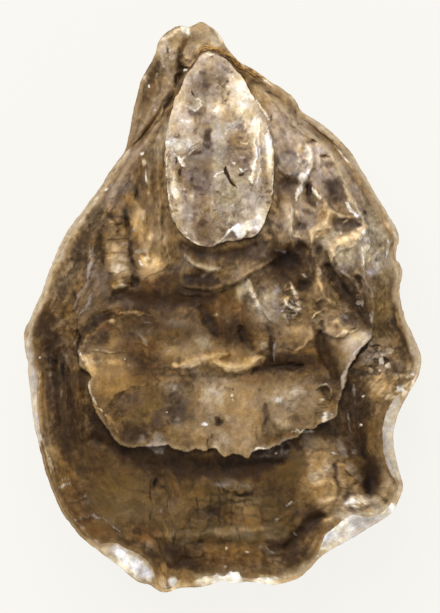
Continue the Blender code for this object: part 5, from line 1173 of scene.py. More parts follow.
    # umber, partly painted shade: the deep hollow at (29, -35) and thin lines below the ledges at (30, -8)
    # and (31, -9)
    ("umber", 0.5, [(29, -35.4, 1.2, 2.2, 0.8), (28.2, -28.6, 0.6, 2.4, 0.5),
        (30.4, -7.8, 0.9, 0.16, 0.8), (31.4, -9, 0.7, 0.16, 0.8), (25, -16, 0.5, 1.6, 0.5),
        (36.6, -6.8, 0.3, 1, 15, 0.6)]),
    ("brown", 0.1, [(-20.4, -38.2, 5.4, 4.2, 0.5), (-24, -30.4, 4, 3.4, 20, 0.6),
        (-28.6, -30, 2.4, 5, -15, 0.5)]),
    ("lilac", 0.2, [([(23, -26.4), (24.4, -29.4)], 0.8, 0.7), ([(24.4, -30.4), (25.8, -32.8)], 0.7, 0.6),
        ([(25.6, -31.6), (27.2, -34.4)], 0.6, 0.5)]),
    ("plum", 0.4, [([(22.4, -30), (22.2, -34), (23.2, -37)], 0.4, 0.8),
        ([(20.6, -35), (19.6, -37)], 0.3, 0.5), (26, -18.6, 1, 2.6, 0.5), (25, -25.4, 1, 2, 0.5),
        (29, -12.6, 1, 0.6, 0.4)]),
    ("lilac", 0.4, [(22, -28.7, 0.7, 0.5, 0.6), ([(25.8, -15), (26.2, -19)], 0.25, 0.6),
        ([(24.6, -20), (25.4, -24.4)], 0.25, 0.5), ([(27, -20), (27.2, -24)], 0.2, 0.5),
        (32.8, -8.6, 0.7, 0.9, 0.6), (28.6, -10.4, 1.4, 0.8, 30, 0.6), (30.4, -13, 0.8, 0.5, 0.4),
        (26, -28.6, 0.6, 0.9, 0.5), (23.6, -27, 0.9, 0.5, 0.4)]),
    ("honey", 0.4, [(19, -33.6, 1.6, 2, 0.6), (17.6, -31, 0.9, 0.8, 0.6), (21, -38.4, 1.6, 0.7, 10, 0.7),
        (23.6, -35, 0.7, 1.2, 0.6), (30.6, -15.4, 2, 1.4, 0.6), (32.6, -17, 1.6, 0.9, 0.7),
        (35.6, -13.6, 1.4, 1, 0.7), (33.6, -36.4, 0.5, 1.4, 0.5), (24.6, -40, 1, 0.6, 0.6),
        (29, -40.4, 1.6, 0.6, 5, 0.7), (37, -11.6, 0.8, 1, 0.5), (20.4, -30.8, 0.8, 0.5)]),
    # gold marks, with painted highlights from (31.4, -15.6) to (35.8, -15.4)
    ("gold", 0.5, [(18.4, -33, 0.7, 0.8, 0.5), (20.6, -38.5, 0.9, 0.3, 10, 0.6),
        (33.2, -18, 1.3, 0.5, 10, 0.9), (35.8, -15.4, 0.9, 0.6, 40, 0.9), (31.4, -15.6, 0.7, 0.4, 0.6),
        (17.4, -31.4, 0.4, 0.3, 0.5)]),
    # cream marks, with painted highlights from (33.4, -17.4) to (38, -13)
    ("cream", 0.7, [(34.3, -13.2, 0.35, 0.25, 0.9), ([(35, -15.2), (36.2, -16.2)], 0.35, 0.9),
        (33.4, -17.4, 0.6, 0.25, 10, 0.9), (38, -13, 0.3, 0.8), (28, -17.6, 0.3, 0.22, 0.8),
        (27.4, -23, 0.25, 0.22, 0.8), (29.5, -21, 0.25, 0.22, 0.8), (26.4, -39.6, 0.4, 0.25, 0.9),
        (27, -38.8, 0.35, 0.25, 0.9), (29, -41, 1.1, 0.5, 0.8), (29.6, -11.2, 0.5, 0.3, 20, 0.7),
        ([(24, -39), (26, -38.2), (29, -38.6)], 0.2, 0.6), (22, -28.6, 0.3, 0.2, 0.7),
        (31.2, -12.6, 0.25, 0.2, 0.7)]),
    # upper right margin
    ("rust", 0.2, [([(17, 36.8), (20, 34.6), (22.6, 31.6)], 0.5, 0.7), ([(30.4, 16), (32, 19)], 0.8, 0.4),
        (31, 20, 0.8, 2, 30, 0.4)]),
    ("bark", 0.5, [(34.2, 5.7, 0.5, 0.35, 0.7), ([(33.8, 2.8), (33.9, 0), (34.4, -2.2)], 0.5, 0.8),
        (30.4, 9, 0.5, 1.4, 0.4), (28.4, 19.4, 0.5, 1.4, 25, 0.4), (10.6, 42.4, 1.6, 0.35, -32, 0.5)]),
    ("cream", 0.7, [([(16.2, 38.2), (19.6, 35.7), (22.4, 33), (25.6, 28.6)], 0.2, 0.6),
        ([(32.8, 13.6), (32.9, 12), (32.6, 10.2)], 0.25, 0.8), (31.6, 16.4, 0.3, 0.4, 0.6),
        (29.8, 15.8, 0.25, 0.4, 0.6), (34.7, 7.4, 0.25, 0.5, 0.6)]),
]
cupPaint = [
    ("nacre", 0.2, [([(-23.6, -48.2), (-20.4, -49.8), (-17.6, -51.6), (-15, -53.4)], 2.2, 1),
        ([(19.4, -48.8), (22.4, -46.6), (26, -44.4), (30, -42.4), (33.6, -40.4)], 3.2, 1.2),
        ([(34.6, -18.6), (33.3, -21.6), (33.1, -26), (33.5, -30), (34.5, -33.6)], 1.2, 0.5),
        (1.8, -54.2, 2.4, 1.8, 1), (-1.2, -54.4, 1.6, 1.4, 0.9), (8.8, -54.8, 3, 1.2, 0.95)]),
    ("grey", 0.1, [([(34.6, -17.6), (33.3, -21.6), (33.1, -26), (33.5, -30), (34.5, -33.6)], 2, 1),
        ([(-39.4, -6.4), (-38.9, -12), (-38, -20), (-36.8, -27), (-35.4, -32.6)], 1.3, 1),
        (-16.6, -52.8, 1.8, 0.5)]),
    ("grey", 0.1, [([(20, -48), (26, -44.6), (33, -40.8)], 3, 0.75)]),
    ("cream", 0.1, [([(-6, -54.8), (-2.8, -54.4)], 1.2, 0.9)]),
    ("brown", 0.1, [([(-36, -27), (-35, -33), (-32.2, -40), (-28, -45.6)], 1.8, 1.1)]),
    ("ochre", 0.1, [(-12, -53, 2.2, 1), (-7.4, -55, 2, 0.9)]),
    ("honey", 0.2, [(-12, -55.4, 2.2, 2, 0.95), (13.4, -54.2, 2, 1.2, 5, 0.9), (-8, -55.2, 1.2, 0.7),
        (35.4, -37.6, 0.9, 2, 0.6)]),
    ("tan", 0.2, [([(15.4, -53.6), (18, -51), (20, -48.8)], 1.3, 0.9), (5, -54.6, 1, 0.9, 0.8)]),
    ("amber", 0.2, [(-11.8, -55.6, 1.8, 1.6, 1), (13.4, -53.8, 2.4, 1.4, 5, 0.7)]),
    # gold, with a painted highlight at (-9.6, -55)
    ("gold", 0.3, [(-9.6, -55, 0.9, 1.5, 0.95), (-10.2, -56.2, 0.5, 0.6, 0.8)]),
    ("beige", 0.3, [([(-19.6, 31.4), (-24, 25), (-29.4, 17.8), (-33.6, 10.6), (-36.4, 2.8), (-39, -4)],
        1, 0.9), ([(15.8, 39), (22.4, 34.2), (27.2, 28), (33, 18.4), (34.8, 13)], 0.8, 0.9), ([(35.4, 8),
        (35.2, 2), (37.4, -4.6), (39.4, -10), (37.4, -16)], 0.8, 0.9), (35.2, -36.4, 1, 2, 0.7),
        (-23, -49.4, 1.8, 0.9, -32, 0.7), (-4.4, -55.2, 2.2, 0.7, 0.6)]),
    ("sand", 0.3, [(21, -47.4, 1.8, 1.2, 35, 0.6), (-22.6, -48.4, 1.8, 1.2, -32, 0.7),
        (-19.8, -48.6, 0.8, 0.7, 0.4), ([(33.2, -21), (33.1, -28), (34.4, -33)], 0.3, 0.4),
        (29, -42.8, 2.4, 0.6, 22, 0.4)]),
    ("grey", 0.4, [(-18, -50.6, 1.2, 0.6, -30, 0.6), (-16.4, -52.6, 0.8, 0.5),
        (-20.4, -50.6, 0.7, 0.5, 0.5), (24, -45.6, 1.8, 0.7, 30, 0.4),
        ([(33.8, -20.6), (33.7, -27), (34.4, -32)], 0.35, 0.4)]),
    # beak and shoulder
    ("olive", 0.2, [(-16, 40, 2, 8, -14, 0.6), (-14.2, 46, 1.6, 4, -14, 0.6)]),
    ("bark", 0.2, [(-16.4, 39.4, 1.9, 7.6, -14, 0.8), (-17.8, 35, 1.4, 4, -20, 0.7),
        (-14, 47, 1.4, 3.6, -20, 0.7), (-13.2, 42.6, 1.6, 2.4, 0.5), (-8.6, 50.8, 0.8, 1.8, 8, 0.6),
        (-8.4, 47, 1.2, 2.2, 0.7), (-11, 51, 0.8, 1.6, 0.4)]),
    ("rust", 0.3, [(-13.8, 43.4, 1.6, 1.4, 0.6), (-15.2, 40.4, 0.9, 1.6, -20, 0.5),
        (-16.6, 36.4, 0.8, 1.6, -20, 0.5), (-14.4, 47.2, 0.6, 0.9, 0.5), (-12.6, 45, 0.5, 0.9, 0.4)]),
    ("tan", 0.1, [(-3.6, 53.6, 3.4, 3, 0.9), (-12, 46, 1.4, 6, -10, 0.3), (7, 46.8, 3.6, 0.9, -32, 0.8)]),
    ("sand", 0.2, [(-0.9, 53.2, 0.9, 1.5, -35, 0.8), (-12, 52.4, 1.4, 2, 0.6)]),
    ("beige", 0.3, [(-1.6, 54, 1.2, 1.6, -35, 0.8), (-5.4, 52.4, 1.3, 1.2, 0.6),
        (-9.4, 54.6, 1.6, 1, 0.5), ([(-12.4, 42.8), (-15.8, 37.2), (-19, 32.4)], 0.35, 0.6),
        (-12.6, 51.6, 0.9, 1.4, 0.5), (6.6, 47.4, 3.4, 0.4, -32, 0.6)]),
    ("rust", 0.3, [([(-7, 54.5), (-8, 52), (-9, 50)], 0.5, 0.8), ([(0, 52), (2, 50), (3.5, 47.8),
        (6.5, 46), (8.8, 44.9)], 0.45, 0.8), (-13.6, 43.6, 1, 3.6, -10, 0.3)]),
    # honey marks; the stroke from (3.3, 47.6) to (5.2, 47) is a painted glint along the hinge band
    ("honey", 0.4, [(-1.3, 51.8, 1.1, 0.45, 0.95), (-2.4, 53, 0.8, 0.6, 0.5), (0.4, 50.2, 0.5, 0.35, 0.9),
        ([(3.3, 47.6), (5.2, 47)], 0.25, 0.8), ([(-8.3, 49.6), (-6.8, 49.8)], 0.25, 0.9),
        (-7.2, 50.6, 0.6, 0.4, 0.6)]),
    ("bark", 0.4, [(-8.9, 50.6, 0.5, 1.5, 10, 0.85), (-7.8, 48.2, 1, 0.6, 0.9),
        (-16.2, 41.6, 1.1, 4, -8, 0.7), (-14.8, 47.6, 0.9, 2, -15, 0.5), (-18, 35, 0.9, 2.6, -10, 0.6),
        (-12.8, 48.8, 0.5, 1.2, -10, 0.4), ([(7, 45.9), (8.6, 45)], 0.2, 0.8),
        (-14.4, 40, 0.5, 1.6, -15, 0.5), (-11.4, 51.6, 0.4, 1, 0.4), (-12.4, 44.6, 0.4, 1.6, -10, 0.5)]),
    # umber in the groove beside the beak, partly painted shade
    ("umber", 0.4, [([(-9.3, 47), (-9.6, 45.4), (-9.9, 44)], 0.3, 0.8), (-7.8, 48.4, 0.6, 0.35, 0.8),
        (-8.8, 50.8, 0.25, 0.9, 8, 0.6)]),
    ("lilac", 0.4, [(-12.4, 50.6, 0.8, 1.2, 0.5), (-10.9, 47.6, 0.5, 1.6, 0.5),
        (-15.4, 44.6, 0.4, 1.2, -10, 0.5), (-13.4, 41.6, 0.4, 1, -15, 0.4),
        (-16.8, 38.4, 0.35, 1.2, -10, 0.4), (-5.6, 52.4, 0.8, 0.7, 0.4)]),
    # cream marks; the dots at (-1.8, 51.8) and (-0.8, 51.6) are painted glints on the gold patch
    ("cream", 0.7, [([(-8.7, 55.8), (-10.5, 54.8), (-13, 53.4)], 0.3, 0.8),
        ([(-8, 47.6), (-7, 47.4)], 0.22, 0.9), ([(-1.6, 55.4), (0, 53.4)], 0.2, 0.7),
        (-11.8, 48.3, 0.4, 0.35, 0.8), (-13.8, 39.7, 0.25, 0.8), (-14.8, 44.4, 0.25, 0.3, 0.8),
        (-13.4, 46.4, 0.25, 0.5, -10, 0.6), (-12, 52.6, 0.5, 0.3, 30, 0.6), (-10.6, 50.4, 0.2, 0.6, 0.5),
        ([(2.5, 49.8), (5, 48.2), (9.8, 45)], 0.22, 0.5), (-1.8, 51.8, 0.22, 0.15, 0.9),
        (-0.8, 51.6, 0.18, 0.14, 0.9), (-15.6, 46, 0.25, 0.4, 0.7)]),
    ("nacre", 0.8, [(-7.7, 55.4, 0.8, 1, 10, 1), (-7.3, 54.2, 0.4, 0.7, 0.9),
        (-15.9, 45.8, 0.3, 0.4, 0.8)]),
]
ground = {  # the ground's own paint, and what it is mottled with: (paint, size of its blots)
    "tongue": ("stone", (("mauve", 2.6), ("sand", 1.6), ("plum", 1.1))),
    "flat": ("brown", (("bark", 3.6), ("tan", 2.6), ("mauve", 3.0), ("ochre", 1.4), ("bark", 1.0))),
    "cup": ("tan", (("bark", 2.4), ("beige", 1.6), ("mauve", 2.0), ("olive", 1.2))),
}


calm = [  # where the shell is smooth and evenly coloured
    (-21, -38, 9, 7, 20, 1), (2, -41, 17, 8, 1), (-23, -12, 5, 7, 10, 0.7), (2, -19, 15, 6, 0.6),
    (-10, -5, 8, 4, 0.4), (26, -6.6, 4, 3, 30, 0.7), (22.6, -10, 3, 4, 0.6), (-27, -45, 5, 4, 30, 0.5),
    (3, -31, 16, 3, 0.7), (-15, 8, 3, 0.6),
]


def brushed(color, paint, amount):  # the colour taken that share of the way to a paint
    return color + amount[:, None] * (np.array(paints[paint]) - color)


def painted(x, y, under, layers, seed):  # every layer in turn over the ground
    wx, wy = ragged(x, y, 0.5, seed)
    blots = [fractal(x, y, size, 5, seed + 3 * k, 0.7) for k, size in enumerate((2.6, 1.8, 1.2, 0.8))]
    base, mottle = under
    color = np.tile(np.array(paints[base], float), (len(x), 1))
    rough = 1 - tinted(x, y, calm)
    for k, (name, size) in enumerate(mottle):
        amount = (0.2 + 0.45 * rough) * smooth(0.0, 0.7, fractal(x, y, size, 4, seed + 20 + 5 * k, 0.7))
        color = brushed(color, name, amount)
    for k, (name, crisp, marks) in enumerate(layers):
        value = tinted(wx, wy, marks)
        value = value + (0.24 + 0.7 * crisp) * blots[k % 4] * np.clip(value * 3, 0, 1)
        amount = smooth(0.26 * crisp, 1.1 - 0.06 * crisp, value)
        color = brushed(color, name, amount)
    return color


darkAndRich = [  # where the colour is made darker and richer: partly the shell's own darker places, partly painted shade below the plate's front edge, in the central trough and in the hollows
    (-24, -24, 6, 9, 20, 0.8), (-28, -32, 6, 9, 30, 0.8), (-8, -34, 14, 4, 0.9), (8, -33, 9, 3.6, 0.9),
    (0, -46, 20, 6, 0.6), (13, -39, 6, 0.7), (-19, -14, 7, 6, 0.8), (-16, -3, 9, 4, 0.9),
    (-8, 1.8, 10, 2.6, 0.9), (2, -6, 4.6, 0.9), (14, -9.6, 7, 3.4, 0.8), (12, 9, 5, 3.4, 0.7),
    (-19, 4, 3, 2.4, 0.6), (-34, -4, 3.6, 6, 0.5), (-29, 1, 2.4, 5, 0.5), (12, -26.4, 3.6, 2.4, 0.8),
    (27, -27, 4, 6, 0.6), (-16, -25.6, 5, 2.4, 0.7), (17, -42, 4, 3, 30, 0.6),
    (-20, 26, 2.4, 6, -30, 0.5), (16, -6, 2.6, 0.4),
]
chalky = [  # where it is dry and chalky
    (24, 12, 7, 8, 0.7), (30, 16, 3.6, 9, 20, 0.8), (26, 2, 3, 5, 0.6), (31, -9, 4, 5, 0.6),
    (14, 18, 5, 0.7), (17, 26, 3.4, 4.6, 0.7), (8.6, 14, 2.6, 2, 0.8), (-3, 47, 5, 4.4, 0.6),
    (3, 41, 3, 6, 10, 0.4), (-8, -16, 3, 3.4, 0.6), (-3, -14.6, 3, 1.6, 0.5), (24, -40, 7, 2.6, 20, 0.8),
    (37, -14, 3, 0.7), (-12, 48, 3.6, 8, -10, 0.5), (-3, 54, 4, 3, 0.6), (-16.4, 38, 2.4, 6, -20, 0.4),
    (-22, 11, 3.4, 2.4, 0.4), ([(-19, 32), (-26, 22), (-31, 14), (-35, 5)], 1.6, 0.5),
    (20, -22, 2.4, 0.5),
]
brownEdge = [  # where the margin has no pale edge
    ([(-36, -26), (-34.4, -34), (-31, -41), (-26.4, -46.4)], 3, 1), (-11.6, -55, 3.4, 1),
    (-7, -55, 3, 0.8), (5, -55, 1.6, 2, 0.7),
]
# The first pair says how rich and how light the colour gets in the darker places, which are partly painted
# shade, and the second where the shell is chalky.
weatherAndShade = {
    "darkAndRich": (1.30, 0.785),
    "chalk": (0.82, 1.13),
    "shadeAndDirt": 0.55,
    "wear": 0.35,
    "speckle": 0.20,
    "broad": 0.08,
    "warmth": 0.09,
    "fan": 0.14,
    "fanCentre": (-2, 62),
    "bands": 0.16,
}
speckleTint, warmTint = np.array([0.9, 1.0, 1.15]), np.array([0.3, 0.0, -1.2])


def weatheredAndShaded(x, y, color, fan, bands, seed):
    # speckle, warm and cool patches, fine rays and growth bands, painted shade and dirt in the hollows and
    # wear on the crests
    r, around = polar(x, y)
    depth = reach(flatReach, around) - r
    speckle = (1 - 0.6 * tinted(x, y, calm)) * fractal(x, y, 1.0, 4, seed + 50, 0.8)
    light = 1 + weatherAndShade["speckle"] * speckle + weatherAndShade["broad"] * fractal(x, y, 5.0, 3, seed + 55)
    away, turn = polar(x, y, weatherAndShade["fanCentre"])
    rays = fractal(turn * 70, away * 0.16, 1.6, 3, seed + 57, 0.7)
    wavy = depth + 0.4 * fractal(x, y, 3.0, 3, seed + 59)
    growth = fractal(wavy, around * 5.0, 0.9, 3, seed + 58, 0.7)
    light = light + weatherAndShade["fan"] * fan * rays + weatherAndShade["bands"] * bands * growth
    warmth = weatherAndShade["warmth"] * fractal(x, y, 2.4, 4, seed + 60, 0.7)
    color = color * light[:, None] ** speckleTint
    color = color * (1 + warmth[:, None] * warmTint)
    value, crack = crumbs(x, y)
    color = color * (1 + 0.22 * value - 0.18 * crack)[:, None]
    color = brushed(color, "cream", 0.7 * smooth(0.45, 0.8, value) * (1 - crack))
    wx, wy = ragged(x, y, 1.6, seed + 64)
    # darker and richer places, partly painted shade, and paler chalky ones
    for marks, (richness, shade) in ((darkAndRich, weatherAndShade["darkAndRich"]), (chalky, weatherAndShade["chalk"])):
        there = tinted(wx, wy, marks)[:, None]
        grey = color.mean(1, keepdims=True)
        color = (grey + (color - grey) * (1 + (richness - 1) * there)) * (1 + (shade - 1) * there)
    fine, wide = sampled(fineMap, x, y) / 0.5, sampled(wideMap, x, y) / 1.6
    both = 0.6 * fine + 0.6 * wide + 0.25 * fractal(x, y, 0.8, 3, seed + 61, 0.7)
    # the hollows taken towards umber: painted shade, together with dirt
    hollowShadeAndDirt = np.clip(-both - 0.15, 0, 1) * weatherAndShade["shadeAndDirt"] * smooth(0.2, 2.2, depth)
    crest = np.clip(both - 0.25, 0, 1) * weatherAndShade["wear"]
    color = brushed(color, "umber", hollowShadeAndDirt)
    color = brushed(color, "gold", crest)
    return np.clip(withPaleEdge(x, y, color, depth, around, seed), 4, 255)


def withPaleEdge(x, y, color, depth, around, seed):  # the thin pale edge of every margin
    uneven = depth + 0.6 * fractal(x, y, 2.2, 3, seed + 66)
    bare = 1 - tinted(x, y, brownEdge)
    for name, width, amount in (("ochre", 2.6, 0.5), ("tan", 1.3, 0.5)):
        lip = amount * bare * smooth(width, 0.2, uneven) * smooth(46, 40, y)
        lip = lip * (0.6 + 0.5 * fractal(x, y, 6.0, 3, seed + 68))
        color = np.maximum(color, brushed(color, name, np.clip(lip, 0, 1)))
    shelf = reach(deepReach, around) - reach(flatReach, around)
    rim = smooth(1.2, 0.0, uneven) * smooth(48, 42, y) * bare
    rim = rim * (0.5 + 0.5 * fractal(x, y, 7.0, 3, seed + 67))
    rim = rim * np.where(depth > -0.02, smooth(1.4, 0.6, shelf), 0.4)
    return np.maximum(color, brushed(color, "sand", np.clip(rim, 0, 1)))


def outside(x, y, z, seed):  # the deep valve's outside: chalky bands with dark rays
    turn = np.arctan2(y + 5, x + 1)
    level = z + 0.8 * fractal(x, y, 6, 3, seed)
    band = 0.5 + 0.5 * fractal(level * 1.3, turn * 1.5, 1.4, 4, seed + 1, 0.6)
    rays = smooth(0.1, 0.6, fractal(turn * 14, z * 0.08, 1.6, 3, seed + 2))
    chalk = smooth(0.15, 0.5, fractal(x + z, y, 7, 4, seed + 3))
    color = brushed(np.array(paints["beige"]), "olive", band)
    color = brushed(color, "plum", rays * 0.55)
    color = brushed(color, "grey", chalk * 0.6)
    speckle = 1 + 0.16 * fractal(x + z, y - z, 1.0, 4, seed + 4, 0.8)
    return np.clip(color * speckle[:, None], 4, 255)


# The meshes, with how many cells, segments and rings each piece has.

meshDetail = {
    "tongue": 270,
    "plate": 285,
    "apron": (960, 88),
    "cup": (900, 34, 74),
}


def addPiece(name, data):
    piece = bpy.data.objects.new(name, data)
    bpy.context.scene.collection.objects.link(piece)
    return piece


def vertexPlaces(mesh):
    co = np.zeros(len(mesh.vertices) * 3, np.float32)
    mesh.vertices.foreach_get("co", co)
    return co.reshape(-1, 3)


def moveVertices(mesh, places):  # places are in drawing millimetres
    mesh.vertices.foreach_set("co", ((places + frameZero) * mm).astype(np.float32).ravel())


def wrappedGrid(name, rings):
    # a grid wrapped round into rings, its seam and both poles merged
    # rings holds x, y and z in drawing millimetres, one row to a ring, top pole first
    count, segments = rings[0].shape
    bm = bmesh.new()
    bmesh.ops.create_grid(bm, x_segments=segments, y_segments=count - 1, size=1.0)
    mesh = bpy.data.meshes.new(name)
    bm.to_mesh(mesh)
    co = vertexPlaces(mesh)
    segment = np.rint((co[:, 0] + 1) / 2 * segments).astype(int) % segments
    ring = np.rint((co[:, 1] + 1) / 2 * (count - 1)).astype(int)
    placed = np.stack([axis[ring, segment] for axis in rings], 1)
    for pole in (0, count - 1):
        placed[ring == pole] = [axis[pole].mean() for axis in rings]
    moveVertices(mesh, placed)
    bm.clear()
    bm.from_mesh(mesh)
    bmesh.ops.remove_doubles(bm, verts=bm.verts, dist=0.0001 * mm)
    if bm.calc_volume(signed=True) < 0:
        bmesh.ops.reverse_faces(bm, faces=bm.faces)
    bm.to_mesh(mesh)
    bm.free()
    mesh.shade_smooth()
    x, y, z = (vertexPlaces(mesh).astype(float) / mm - frameZero).T
    return addPiece(name, mesh), x, y, z


def bentRound(a, b):
    # a square from -1 to 1 bent into a disc: how far out each point is (0 to 1) and its direction
    far = np.maximum(np.abs(a), np.abs(b))
    safe = np.maximum(far, 1e-9)
    sideways = np.abs(a) >= np.abs(b)
    x = np.where(sideways, np.sign(a) * np.cos(b / safe * math.pi / 4), np.sin(a / safe * math.pi / 4))
    y = np.where(sideways, np.sin(b / safe * math.pi / 4), np.sign(b) * np.cos(a / safe * math.pi / 4))
    return far, np.arctan2(y, x)


def makeSheet(name, middle, table, cells, topHeight, lips, under):
    # a layer with an even grid on top and a closed underside
    # lips holds (how far in, how far down) for each ring below the top's edge
    # under is the underside's height
    bm = bmesh.new()
    bmesh.ops.create_grid(bm, x_segments=cells, y_segments=cells, size=1.0)
    rim = [edge for edge in bm.edges if len(edge.link_faces) == 1]
    for layer in range(len(lips) + 1):
        made = bmesh.ops.extrude_edge_only(bm, edges=rim)["geom"]
        rim = [item for item in made if isinstance(item, bmesh.types.BMEdge) and len(item.link_faces) == 1]
        for item in made:
            if isinstance(item, bmesh.types.BMVert):
                item.co.z = layer + 1
    bottom = bmesh.ops.contextual_create(bm, geom=rim)["faces"]
    bmesh.ops.poke(bm, faces=bottom)
    if bm.calc_volume(signed=True) < 0:
        bmesh.ops.reverse_faces(bm, faces=bm.faces)
    mesh = bpy.data.meshes.new(name)
    bm.to_mesh(mesh)
    bm.free()
    a, b, layer = vertexPlaces(mesh).astype(float).T
    far, turn = bentRound(a, b)
    layer = np.rint(layer).astype(int)
    edge = reach(table, turn)
    back = np.array([0, *(lip[0] for lip in lips), 0])[layer]
    down = np.array([0, *(lip[1] for lip in lips), 0])[layer]
    last = layer == len(lips) + 1
    radius = np.where(last, edge * far * 0.6, edge * far - back)
    x, y = atTurns(middle, turn, radius)
    z = np.where(last, under, topHeight(*atTurns(middle, turn, edge * far)) - down)
    moveVertices(mesh, np.stack([x, y, z], 1))
    mesh.update()
    if signedVolume(mesh) < 0:
        mesh.flip_normals()
    mesh.shade_smooth()
    return addPiece(name, mesh), x, y


def signedVolume(mesh):
    bm = bmesh.new()
    bm.from_mesh(mesh)
    volume = bm.calc_volume(signed=True)
    bm.free()
    return volume


def linear(screen):  # screen colours from 0 to 1 as a shader wants them
    return np.where(screen <= 0.04045, screen / 12.92, ((screen + 0.055) / 1.055) ** 2.4)


def givePaint(piece, color):
    attribute = piece.data.color_attributes.new("shellPaint", "FLOAT_COLOR", "POINT")
    shown = np.column_stack([linear(color / 255), np.ones(len(color))])
    attribute.data.foreach_set("color", shown.astype(np.float32).ravel())


def sideShare(x, y):  # 1 at the sides, where the growth bands show most, 0 in front
    return smooth(0.35, 0.85, np.abs(np.cos(polar(x, y)[1])))


def stacked(rings):
    return tuple(np.array([ring[k] for ring in rings]) for k in range(3))


def makeTongue():
    lips = ((-0.06, 0.10), (-0.03, 0.25), (0.15, 0.45), (0.3, 0.9), (0.4, 2.0), (0.6, 3.4))
    cells = meshDetail["tongue"]
    piece, x, y = makeSheet("tongue", tongueMiddle, tongueReach, cells, tongueHeight, lips, 2.6)
    color = painted(x, y, ground["tongue"], tonguePaint, 71)
    givePaint(piece, weatheredAndShaded(x, y, color, 0.4, 0.0, 71))
    return piece


def makePlate():
    lips = ((-0.10, 0.12), (-0.04, 0.3), (0.25, 0.5), (0.7, 0.8), (1.0, 1.5), (1.0, 2.6), (1.4, 4.0))
    cells = meshDetail["plate"]
    piece, x, y = makeSheet("plate", shell["middle"], plateReach, cells, plateHeight, lips, 1.8)
    color = painted(x, y, ground["flat"], flatPaint, 72)
    givePaint(piece, weatheredAndShaded(x, y, color, smooth(-12, 4, y), 0.3 * sideShare(x, y), 72))
    return piece


def makeApron():
    segments, topRings = meshDetail["apron"]
    turns = evenTurns(flatReach, segments)
    inner, edge = reach(plateReach, turns) * 0.94, reach(flatReach, turns)
    lift, halfGap = seamLift(turns), shell["seamGap"] / 2
    rings = []
    for share in (0.0, 0.7):  # hidden below the plate
        x, y = atTurns(shell["middle"], turns, inner * share)
        rings.append((x, y, np.full_like(x, 1.4)))
    for share in np.linspace(0, 1, topRings):
        x, y = atTurns(shell["middle"], turns, inner + (edge - inner) * share)
        rings.append((x, y, apronHeight(x, y) + lift * share**2))
    lip, under = rings[-1][2], lift + halfGap
    for back, share in ((-0.1, 0.2), (-0.06, 0.5), (0.0, 0.8), (0.15, 1.0)):
        x, y = atTurns(shell["middle"], turns, edge - back)
        rings.append((x, y, lip + (under - lip) * share))
    for share in (0.9, 0.6, 0.0):
        x, y = atTurns(shell["middle"], turns, edge * share)
        rings.append((x, y, lift * share**3 + halfGap))
    piece, x, y = wrappedGrid("apron", stacked(rings))[:3]
    color = painted(x, y, ground["flat"], flatPaint + newestPaint, 72)
    r, turn = polar(x, y)
    value, crack = slabs(x, y, reach(flatReach, turn) - r)
    color = color * (1 + 0.12 * value - 0.2 * crack)[:, None]
    givePaint(piece, weatheredAndShaded(x, y, color, smooth(-12, 4, y), 0.3 + 0.7 * sideShare(x, y), 72))
    return piece


cup = {
    "depth": 21.6,
    "foot": (-1.0, -5.0),
    "beakRise": 0.45,
    "frill": 0.55,
    "growthSteps": 46,
    "folds": 0.35,
    "foldCount": 11,
    "shelfBack": 1.4,
    "closing": 1.1,
}


def cupProfile(y, share):
    shallow = 1 - cup["beakRise"] * np.clip((y - 6) / 50, 0, 1) ** 1.3
    return -0.3 - cup["depth"] * (1 - share**2.6) ** 0.62 * shallow


